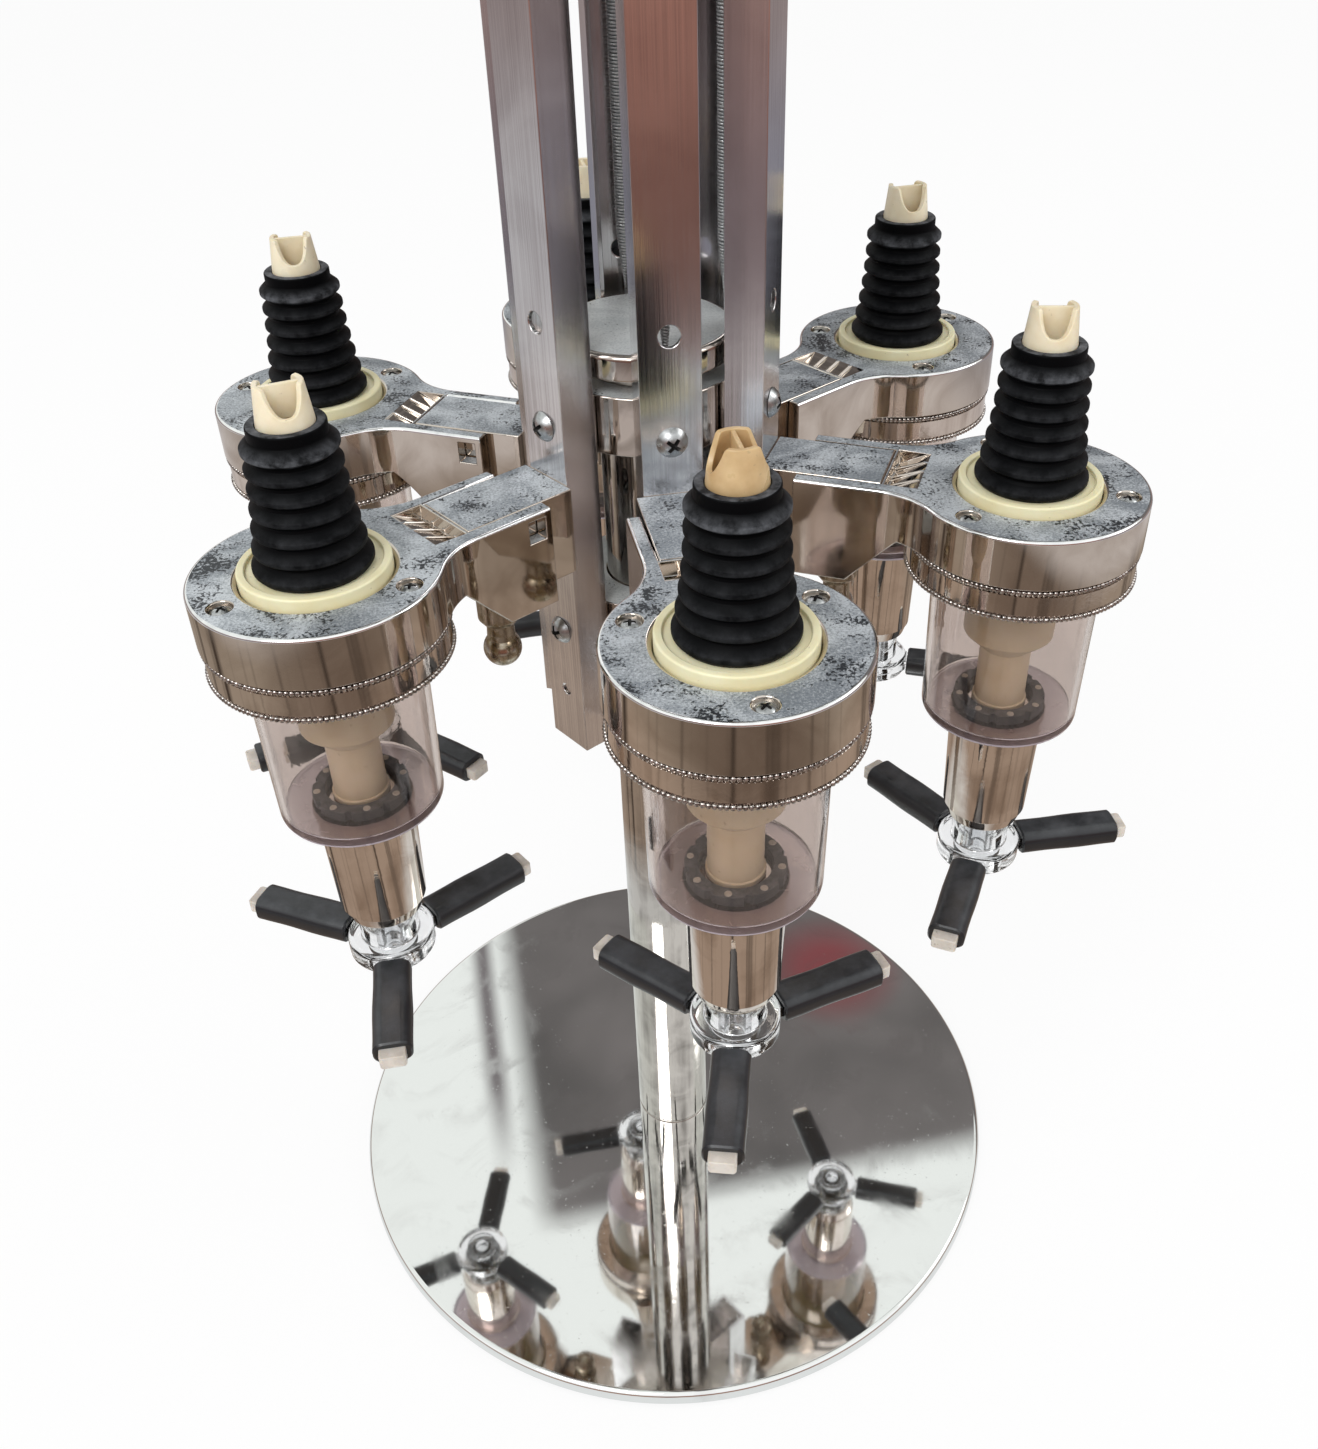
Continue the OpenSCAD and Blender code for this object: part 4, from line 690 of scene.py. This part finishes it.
# Measures
headSizes = {"bore": 6.6, "nozzleR": 8, "nozzleFoot": 272.3, "floor": 278, "skirtIn": 22.6, "skirtOut": 26.7,
             "skirtFoot": 269.6, "plate": 285.5, "collarR": 17.9, "rimTop": 291.5, "shelf": 290.5,
             "rimIn": 15.9, "segments": 96}
s = headSizes
turnPiece("chamberHeads", [
    (s["bore"], s["nozzleFoot"]), (s["nozzleR"], s["nozzleFoot"], 0.4), (s["nozzleR"], s["floor"], 0.8),
    (s["skirtIn"], s["floor"], 0.5), (s["skirtIn"], s["skirtFoot"], 0.2),
    (s["skirtOut"], s["skirtFoot"], 0.2), (s["skirtOut"], s["plate"], 0.3), (s["collarR"], s["plate"]),
    (s["collarR"], s["rimTop"], 0.55), (s["rimIn"], s["rimTop"], 0.35), (s["rimIn"], s["shelf"], 0.3),
    (s["bore"], s["shelf"])],
    s["segments"], "creamPlastic", "cage", "chamber_heads", places=measures)

ringSizes = {"radius": 29.3, "bore": 26.8, "lipR": 22.6, "foot": 266, "lipTop": 268.1, "top": 275.3,
             "edge": 0.35, "hollowR": 28.8, "hollowH": 1.7, "bandH": 2.0, "segments": 120}
s = ringSizes
turnPiece("ringBands", [
    (s["lipR"], s["foot"], 0.3), (s["hollowR"], s["foot"], s["edge"]),
    (s["hollowR"], s["foot"] + s["hollowH"]), (s["radius"], s["foot"] + s["bandH"]),
    (s["radius"], s["top"] - s["bandH"]), (s["hollowR"], s["top"] - s["hollowH"]),
    (s["hollowR"], s["top"], s["edge"]), (s["bore"], s["top"], 0.2), (s["bore"], s["lipTop"]),
    (s["lipR"], s["lipTop"], 0.2)],
    s["segments"], "turnedChrome", "cage", "knurled_rings", places=measures)

# Cups: clear, with a frosted foot
cupSizes = {"radius": 22, "footR": 21.2, "wall": 1.5, "floorTop": 222.3, "foot": 220.3, "top": 269.6,
            "flangeR": 26.6, "flangeFoot": 268.1, "roll": 1.2, "frostTop": 221.8, "hole": 9.2, "segments": 96}
s = cupSizes
bm = bmesh.new()
revolve(bm, roundCorners([
    (s["hole"], s["foot"], 0.2), (s["footR"], s["foot"], s["roll"]), (s["radius"], s["flangeFoot"], 0.4),
    (s["flangeR"], s["flangeFoot"], 0.3), (s["flangeR"], s["top"], 0.3),
    (s["radius"] - s["wall"], s["top"], 0.4), (s["footR"] - s["wall"], s["floorTop"], 1.2),
    (s["hole"], s["floorTop"], 0.2)], 5), s["segments"], measures)
for face in bm.faces:
    face.material_index = int(face.calc_center_median().z < s["frostTop"] * mm)
makePiece("measuringCups", bm, ["cupStyrene", "cupFoot"], "cage", ["cups"])

# Stoppers: ribs that widen towards the foot, with the dust on their crests kept as an attribute
stopperSizes = {"shelf": 290.5, "height": 35.7, "ribs": 7, "footR": 14.05, "tipR": 11.0, "groove": 1.7,
                "footRise": 1.7, "topDrop": 5.2, "neckR": 8.9, "bore": 6.6, "ribRound": 0.45,
                "grooveRound": 0.54, "under": (0.85, 0.36), "over": (1.05, 0.44), "rib": (-0.13, 0.1),
                "crestDepth": 0.45, "crest": 0.14, "topCrest": 0.7, "topRib": 0.1, "segments": 72}
s = stopperSizes
pitch = (s["height"] - s["topDrop"] - s["footRise"]) / (s["ribs"] - 1)
stopperTop = s["shelf"] + s["height"]


def ribRadius(rise):
    return s["tipR"] + (s["footR"] - s["tipR"]) * rise ** 2


points = [(s["bore"], s["shelf"]), (s["footR"] - s["groove"] / 2, s["shelf"], 0.3)]
for k in range(s["ribs"]):
    ribR = ribRadius((s["ribs"] - 1 - k) / (s["ribs"] - 1))
    ribZ = s["shelf"] + s["footRise"] + pitch * k
    if k > 0:
        points.append((ribR - s["groove"] * s["under"][0], ribZ - s["under"][1] * pitch, s["grooveRound"]))
    points += [(ribR, ribZ + share * pitch, s["ribRound"]) for share in s["rib"]]
    if k < s["ribs"] - 1:
        points.append((ribR - s["groove"] * s["over"][0], ribZ + s["over"][1] * pitch, s["grooveRound"]))
points += [(s["neckR"], stopperTop - s["topDrop"] + 0.5 * pitch, 0.5), (s["neckR"], stopperTop, 0.5),
           (s["bore"], stopperTop, 0.3)]
bm = bmesh.new()
revolve(bm, roundCorners(points, 3), s["segments"])
crestLayer = bm.verts.layers.float.new("crest")
for v in bm.verts:
    rise = 1 - (v.co.z / mm - s["shelf"] - s["footRise"]) / (pitch * (s["ribs"] - 1))
    crest = max(0, 1 - (ribRadius(max(rise, 0)) - v.co.to_2d().length / mm) / s["crestDepth"])
    dusty = s["topCrest"] if rise < s["topRib"] else s["crest"]
    v[crestLayer] = crest * (0 if rise < -s["topRib"] else dusty)
stopperMesh = newMesh("stopperPattern", bm)
bm = bmesh.new()
for place in measures:
    stopperMesh.transform(place)
    bm.from_mesh(stopperMesh)
    stopperMesh.transform(place.inverted())
makePiece("ribbedStoppers", bm, ["stopperRubber"], "cage", ["stoppers"], smoothAngle=60)

# Inlet tips: a tube with two opposite U cuts and a web between them; station 1 holds an older, yellower
# one, whose colour is also darker as painted shade
tipSizes = {"radius": 6.5, "topR": 5.5, "bore": 5.2, "topBore": 4.3, "foot": 281, "neck": 326.2, "top": 335.3,
            "cutDepth": 6.4, "cutHalf": 4.3, "cutPower": 2.8, "web": 1.0, "webLong": 4.7, "webFoot": 327,
            "webTop": 335, "segments": 72, "levels": 4, "agedShadedStation": 1,
            "turns": (-181, -105, -86, 0, -88, -78)}


def drawTip(bm, place, materialIndex):
    s = tipSizes
    columns = []
    for k in range(s["segments"]):
        turn = 2 * math.pi * k / s["segments"]
        aside = min(1, abs(s["topR"] * math.sin(turn)) / s["cutHalf"])
        rim = s["top"] - s["cutDepth"] * (1 - aside ** s["cutPower"])
        column = []
        for outerR, innerR in ((s["radius"], s["topR"]), (s["bore"], s["topBore"])):
            wall = [(outerR, s["foot"])]
            for step in range(s["levels"] + 1):
                z = s["neck"] + (rim - s["neck"]) * step / s["levels"]
                wall.append((outerR + (innerR - outerR) * (z - s["neck"]) / (s["top"] - s["neck"]), z))
            column += wall if not column else wall[::-1]
        spots = [(r * mm * math.cos(turn), r * mm * math.sin(turn), z * mm) for r, z in column]
        columns.append([bm.verts.new(place @ Vector(spot)) for spot in spots])
    rings = list(zip(*columns))
    joinRings(bm, rings + rings[:1], materialIndex)
    joinBox(bm, [bm.verts.new(place @ Vector((x * s["web"] / 2 * mm, y * s["webLong"] * mm, z * mm)))
                 for z in (s["webFoot"], s["webTop"]) for x, y in square], materialIndex)


bm = bmesh.new()
for i in stationNumbers:
    spin = Matrix.Rotation(math.radians(tipSizes["turns"][i - 1]) - stationTurn(i), 4, "Z")
    # station 1's tip takes the aged colour, darkened as painted shade
    drawTip(bm, measures[i - 1] @ spin, int(i == tipSizes["agedShadedStation"]))
makePiece("inletTips", bm, ["tipPlastic", "agedAndShadedPlastic"], "cage", ["inlet_tips"],
          softEdges["inletTips"], smoothAngle=40)

barrelSizes = {"collarR": 13.2, "top": 220.3, "collarFoot": 217.5, "neckR": 9.0, "neckTop": 222.6,
               "bodyR": 12.85, "footR": 11.8, "groove": 0.35, "grooveZ": 184.7, "tipR": 10.3, "foot": 181,
               "bore": 8.7, "guideR": 5.08, "guideZ": 214, "segments": 96}
s = barrelSizes
turnPiece("chromedBarrels", [
    (s["guideR"], s["guideZ"]), (s["guideR"], s["neckTop"]), (s["neckR"], s["neckTop"], 0.2),
    (s["neckR"], s["top"]), (s["collarR"], s["top"], 0.3), (s["collarR"], s["collarFoot"], 0.25),
    (s["bodyR"], s["collarFoot"]), (s["footR"], s["grooveZ"] + s["groove"], 0.15),
    (s["footR"] - s["groove"], s["grooveZ"], 0.1), (s["tipR"], s["foot"], 0.5), (s["bore"], s["foot"], 0.3),
    (s["bore"], s["guideZ"])],
    s["segments"], "turnedChrome", "cage", "barrels", places=measures)

# Seals, with pale lugs on top
sealSizes = {"lugs": 8, "lugAt": 11.2, "lugR": 0.95, "lugFoot": 224.6, "lugTop": 225.45, "segments": 16}
s = sealSizes
bm = copySolids("cup_seals")
lugTurns = [Matrix.Rotation(2 * math.pi * (k + 0.5) / s["lugs"], 4, "Z") for k in range(s["lugs"])]
revolve(bm, [(0, s["lugFoot"]), (s["lugR"], s["lugFoot"]), (s["lugR"], s["lugTop"]), (0, s["lugTop"])],
        s["segments"], [place @ turn @ Matrix.Translation((s["lugAt"] * mm, 0,
                                                           0)) for place in measures for turn in lugTurns], 1)
makePiece("cupSeals", bm, ["sealRubber", "sealDot"], "cage", ["cup_seals"],
          softEdges["cupSeals"])

# Return springs inside the barrels
coilSizes = {"coilR": 7.1, "wireR": 0.48, "turns": 7, "steps": 28, "sides": 8}
s = coilSizes
coilLow, coilHigh = (corner[2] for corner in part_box("return_springs"))
wireR = s["wireR"] * mm
wireTurns = [-2 * math.pi * n / s["sides"] for n in range(s["sides"])]
for i in stationNumbers:
    centre = measures[i - 1].translation
    bm = bmesh.new()
    rings = []
    for k in range(s["turns"] * s["steps"] + 1):
        turn = 2 * math.pi * k / s["steps"]
        outward = Vector((math.cos(turn), math.sin(turn), 0))
        height = coilLow + wireR + (coilHigh - coilLow - 2 * wireR) * k / (s["turns"] * s["steps"])
        middle = Vector((centre.x, centre.y, height)) + outward * s["coilR"] * mm
        rings.append([bm.verts.new(middle + outward * wireR * math.cos(t) + Vector((0, 0,
                                                                                    wireR * math.sin(t))))
                      for t in wireTurns])
    joinRings(bm, rings)
    bm.faces.new(rings[0])
    bm.faces.new(rings[-1][::-1])
    spring = makePiece(f"returnSpring_{i}", bm, ["springWire"], None, ["return_springs"])
    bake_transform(spring)
print("measures made")

# Valves, levers, their sleeves and the bottle clamps. The levers and the stems' lower ends are clear
leverSizes = {"turns": (102.5, 26.4, 65, 90, 43, 58.3), "endFrom": 42.4, "clearBelow": 183}
sleeveSizes = {"bars": 3, "start": 12.7, "end": 42.7, "width": 10.5, "thick": 7.6, "round": 3.0, "holeW": 7.2,
               "holeH": 4.2, "holeRound": 0.5, "lip": 0.5, "lipSize": 0.9, "dent": 0.028, "dentWaves": 7,
               "middle": 167.75, "cornerSteps": 5, "rings": 9, "seed": 1.7}


def roundedLoop(width, thick, radius, steps):
    # a rectangle with round corners, as points across the bar
    loop = []
    for quarter in range(4):
        cx = (width / 2 - radius) * (1 if quarter in (0, 3) else -1)
        cy = (thick / 2 - radius) * (1 if quarter < 2 else -1)
        for k in range(steps + 1):
            turn = math.pi / 2 * (quarter + k / steps)
            loop.append((cx + radius * math.cos(turn), cy + radius * math.sin(turn)))
    return loop


def drawSleeve(bm, place, seed):
    # the outside swells and dents a little along the bar
    s = sleeveSizes
    outside = roundedLoop(s["width"], s["thick"], s["round"], s["cornerSteps"])
    inside = roundedLoop(s["holeW"], s["holeH"], s["holeRound"], s["cornerSteps"])
    rings = [(s["start"], inside, 1.0), (s["start"], outside, s["lipSize"])]
    for k in range(s["rings"]):
        share = k / (s["rings"] - 1)
        dent = s["dent"] * math.sin(s["dentWaves"] * share + seed) * math.sin(math.pi * share)
        rings.append((s["start"] + s["lip"] + (s["end"] - s["start"] - 2 * s["lip"]) * share, outside,
                      1 + dent))
    rings += [(s["end"], outside, s["lipSize"]), (s["end"], inside, 1.0)]
    made = [[bm.verts.new(place @ Vector((x * mm, y * size * mm, (s["middle"] + z * size) * mm))) for y,
             z in loop]
            for x, loop, size in rings]
    joinRings(bm, made + made[:1])


for i in stationNumbers:
    barTurns = [math.radians(leverSizes["turns"][i - 1] + 360 / sleeveSizes["bars"] * k)
                for k in range(sleeveSizes["bars"])]
    bm = copySolids(f"stem_{i}")
    cutAcross(bm, Vector((0, 0, leverSizes["clearBelow"] * mm)), Vector((0, 0, -1)))
    makePiece(f"valveStem_{i}", bm, ["stemPlastic", "leverStyrene"], f"valve_{i}", [f"stem_{i}"],
              softEdges["valveStem"])
    bm = copySolids(f"spider_{i}")
    for turn in barTurns:
        way = Vector((math.cos(stationTurn(i) + turn), math.sin(stationTurn(i) + turn), 0))
        cutAcross(bm, measures[i - 1].translation + way * leverSizes["endFrom"] * mm, way)
    makePiece(f"pushLever_{i}", bm, ["leverStyrene", "leverEnd"], f"lever_{i}", [f"spider_{i}"],
              softEdges["pushLever"])
    bm = bmesh.new()
    for k, turn in enumerate(barTurns):
        drawSleeve(bm, measures[i - 1] @ Matrix.Rotation(turn, 4, "Z"), sleeveSizes["seed"] * i + k)
    makePiece(f"leverSleeves_{i}", bm, ["sleeveRubber"], f"lever_{i}", [f"sleeves_{i}"])
    keepSolids(f"bottleClamp_{i}", [f"clamp_{i}"], "blackNylon", f"bottle_clamp_{i}",
               softEdges["bottleClamp"])
print("valves, levers and clamps made")


# Geometry nodes: what repeats or follows a path
def startTree(name, **sockets):
    # a node tree with named inputs, each with its kind of socket
    tree = bpy.data.node_groups.new(name, "GeometryNodeTree")
    tree.interface.new_socket("Geometry", in_out="OUTPUT", socket_type="NodeSocketGeometry")
    tree.interface.new_socket("Geometry", in_out="INPUT", socket_type="NodeSocketGeometry")
    for title, kind in sockets.items():
        tree.interface.new_socket(title, in_out="INPUT", socket_type="NodeSocket" + kind)
    return tree, addNode(tree, "NodeGroupInput").outputs


def addPart(tree, kind, inputs, **settings):
    return addNode(tree, "GeometryNode" + kind, inputs, **settings).outputs[0]


def endTree(tree, geometry, material, recessShadeMaterial=None):
    whole = addPart(tree, "RealizeInstances", {"Geometry": geometry})
    coated = addPart(tree, "SetMaterial", {"Geometry": whole, "Material": material})
    if recessShadeMaterial:
        # faces inside the cross recess take the near-black finish: painted shade
        recess = addPart(tree, "InputNamedAttribute", {"Name": "recess"}, data_type="BOOLEAN")
        coated = addPart(tree, "SetMaterial", {"Geometry": coated, "Material": recessShadeMaterial,
                                               "Selection": recess})
    addNode(tree, "NodeGroupOutput", {0: coated})


def runTree(name, points, attributes, tree, values, smoothAngle=40):
    # grows the tree on a mesh of points and keeps the result as a plain mesh
    mesh = bpy.data.meshes.new(name)
    mesh.from_pydata(points, [], [])
    for title, vectors in attributes.items():
        store = mesh.attributes.new(title, "FLOAT_VECTOR", "POINT")
        store.data.foreach_set("vector", [c for v in vectors for c in v])
    piece = newObject(name, mesh)
    grow = piece.modifiers.new("grow", "NODES")
    grow.node_group = tree
    for item in tree.interface.items_tree:
        if item.in_out == "INPUT" and item.name in values:
            grow[item.identifier] = values[item.name]
    shadeSoft(bakeModifier(piece, grow), smoothAngle)
    return piece


# Rows of beads pressed round the rings, one row near each edge
beadSizes = {"count": 144, "ringR": 29.16, "beadR": 0.78, "rows": (266.85, 274.45), "smoothAngle": 80}
s = beadSizes
tree, inputs = startTree("beadRows", Count="Int", RingRadius="Float", BeadRadius="Float", Material="Material")
circle = addPart(tree, "MeshCircle", {"Vertices": inputs["Count"], "Radius": inputs["RingRadius"]})
bead = addPart(tree, "MeshUVSphere", {"Segments": 6, "Rings": 4, "Radius": inputs["BeadRadius"]})
row = addPart(tree, "InstanceOnPoints", {"Points": circle, "Instance": bead})
rows = addPart(tree, "InstanceOnPoints", {"Points": inputs["Geometry"], "Instance": row})
endTree(tree, rows, inputs["Material"])
# the beads take the darkened chrome, painted shade for the gaps between them
beads = runTree("ringBeads", [place @ Vector((0, 0, z * mm)) for place in measures for z in s["rows"]], {},
                tree, {
    "Count": s["count"], "RingRadius": s["ringR"] * mm, "BeadRadius": s["beadR"] * mm,
    "Material": finishes["beadChrome"]}, s["smoothAngle"])
tiePiece(beads, [], "cage")

# Machine screws: one pan head with its cross recess, set at every screw's place
screwSizes = {"headR": 4.0, "headH": 2.6, "domeSteps": 6, "shankR": 1.95, "shank": 12, "edgeR": 3.8,
              "edgeH": 0.15, "crossFoot": (0.9, 0.7, 0.3),
              "crossTop": (3.2, 3.3, 0.62), "crossLift": 0.009, "recessR": 3.4, "skin": 0.1, "segments": 32}
s = screwSizes
domeR = (s["headR"] ** 2 + s["headH"] ** 2) / (2 * s["headH"])
outline = [Vector(p) for p in ((0, -s["shank"]), (s["shankR"], -s["shank"]), (s["shankR"], 0),
                               (s["edgeR"], 0))]
for k in range(s["domeSteps"] + 1):
    turn = math.asin(s["headR"] / domeR) * (1 - k / s["domeSteps"])
    domeZ = s["headH"] - domeR + domeR * math.cos(turn)
    outline.append(Vector((domeR * math.sin(turn), domeZ + (s["edgeH"] if domeZ < 0.2 else 0))))
bm = bmesh.new()
revolve(bm, outline, s["segments"])
bmesh.ops.recalc_face_normals(bm, faces=bm.faces)
screwPattern = newObject("screwPattern", newMesh("screwPattern", bm))
bm = bmesh.new()
for turn, lift in ((0, 0), (90, s["crossLift"])):
    spin = Matrix.Rotation(math.radians(turn), 4, "Z")
    joinBox(bm, [bm.verts.new(spin @ Vector((x * long * mm, y * wide * mm, (z + lift) * mm)))
                 for z, long, wide in (s["crossFoot"], s["crossTop"]) for x, y in square])
crossPattern = newObject("crossPattern", newMesh("crossPattern", bm))
carve = screwPattern.modifiers.new("carve", "BOOLEAN")
carve.object = crossPattern
carve.operation = "DIFFERENCE"
carve.solver = "EXACT"
carve.use_self = True
carved = bakeModifier(screwPattern, carve)
recess = carved.attributes.new("recess", "BOOLEAN", "FACE")
for face in carved.polygons:
    far = face.center.to_2d().length / mm
    domeZ = s["headH"] - domeR + math.sqrt(domeR ** 2 - far ** 2)
    recess.data[face.index].value = far < s["recessR"] and 0 < face.center.z / mm < domeZ - s["skin"]

screwTree, inputs = startTree("screwPlaces", Screw="Object", Material="Material", Recess="Material")
pattern = addNode(screwTree, "GeometryNodeObjectInfo", {"Object": inputs["Screw"]}).outputs["Geometry"]
turnOf, sizeOf = (addPart(screwTree, "InputNamedAttribute", {"Name": name}, data_type="FLOAT_VECTOR")
                  for name in ("turn", "size"))
turning = addNode(screwTree, "FunctionNodeEulerToRotation", {0: turnOf}).outputs[0]
placed = addPart(screwTree, "InstanceOnPoints", {"Points": inputs["Geometry"], "Instance": pattern,
                 "Rotation": turning, "Scale": sizeOf})
endTree(screwTree, placed, inputs["Material"], inputs["Recess"])


def setScrews(name, node, points, turns, scale):
    screws = runTree(name, points, {"turn": turns, "size": [scale] * len(points)}, screwTree,
                     {"Screw": screwPattern, "Material": finishes["zincScrew"],
                      "Recess": finishes["recessPaintedShade"]})
    tiePiece(screws, [node], "cage")


# Screws on the rails face outwards at three heights and inwards at two
railScrews = {"face": 34.3, "web": 33.0, "outside": (303, 241.5, 663.4), "inside": (283, 271),
              "spin": (0.9, 1.3)}
s = railScrews
points, turns = [], []
for i in stationNumbers:
    for k, z in enumerate(s["outside"] + s["inside"]):
        outside = k < len(s["outside"])
        facing = Matrix.Rotation(math.radians(90 if outside else -90), 4, "Y")
        points.append(atStation(i, s["face"] if outside else s["web"], z).translation)
        spin = Matrix.Rotation(s["spin"][0] * i + s["spin"][1] * k, 4, "Z")
        turns.append((atStation(i) @ facing @ spin).to_euler())
setScrews("railScrewHeads", "rail_screws", points, turns, (1, 1, 1))

headScrews = {"ring": 24.3, "perHead": 3, "seat": 287.4, "scale": (0.7, 0.7, 0.577), "spin": (0.7, 1.9)}
s = headScrews
points, turns = [], []
for i in stationNumbers:
    for k in range(s["perHead"]):
        arm = Matrix.Rotation(2 * math.pi * k / s["perHead"], 4, "Z") @ Vector((s["ring"] * mm, 0, 0))
        points.append(measures[i - 1] @ (arm + Vector((0, 0, s["seat"] * mm))))
        turns.append((0, 0, s["spin"][0] * i + s["spin"][1] * k))
setScrews("headScrewHeads", "head_screws", points, turns, s["scale"])
bpy.data.objects.remove(screwPattern)
bpy.data.objects.remove(crossPattern)

# Close-coiled tension springs: straight ends, then turns that widen to the full coil
springSizes = {"out": 28.5, "foot": 306.3, "coneFoot": 321, "coilFoot": 336, "coilTop": 486, "coneTop": 490,
               "top": 498.7, "coilR": 1.62, "wireR": 0.36, "pitch": 0.82, "steps": 12, "sides": 5,
               "smoothAngle": 80}
s = springSizes
tree, inputs = startTree("closeCoil", CoilRadius="Float", WireRadius="Float", Pitch="Float", Steps="Int",
                         Sides="Int", Material="Material")
section = addPart(tree, "CurvePrimitiveCircle", {"Resolution": inputs["Sides"],
                                                 "Radius": inputs["WireRadius"]})
curves = []
coilParts = [("coneFoot", "coilFoot", 0.0, 1.0), ("coilFoot", "coilTop", 1.0, 1.0),
             ("coilTop", "coneTop", 1.0, 0.0)]
for low, high, startShare, endShare in coilParts:
    tall = (s[high] - s[low]) * mm
    spiral = addPart(tree, "CurveSpiral", {
        "Resolution": inputs["Steps"], "Rotations": addMath(tree, "DIVIDE", tall, inputs["Pitch"]),
        "Start Radius": addMath(tree, "MULTIPLY", inputs["CoilRadius"], startShare),
        "End Radius": addMath(tree, "MULTIPLY", inputs["CoilRadius"], endShare), "Height": tall})
    curves.append(addPart(tree, "Transform", {"Geometry": spiral, "Translation": (0, 0, s[low] * mm)}))
for low, high in (("foot", "coneFoot"), ("coneTop", "top")):
    curves.append(addPart(tree, "CurvePrimitiveLine", {"Start": (0, 0, s[low] * mm), "End": (0, 0,
                                                                                             s[high] * mm)}))
join = addNode(tree, "GeometryNodeJoinGeometry")
for curve in curves:
    tube = addPart(tree, "CurveToMesh", {"Curve": curve, "Profile Curve": section, "Fill Caps": True})
    tree.links.new(tube, join.inputs[0])
onPoint = addPart(tree, "InstanceOnPoints", {"Points": inputs["Geometry"], "Instance": join.outputs[0]})
endTree(tree, onPoint, inputs["Material"])
for i in stationNumbers:
    spot = atStation(i, s["out"]).translation
    spring = runTree(f"tensionSpring_{i}", [spot], {}, tree, {
        "CoilRadius": s["coilR"] * mm, "WireRadius": s["wireR"] * mm, "Pitch": s["pitch"] * mm,
        "Steps": s["steps"], "Sides": s["sides"], "Material": finishes["springWire"]}, s["smoothAngle"])
    tiePiece(spring, [f"tension_spring_{i}"], None)
    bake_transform(spring)
print("beads, screws and springs made")
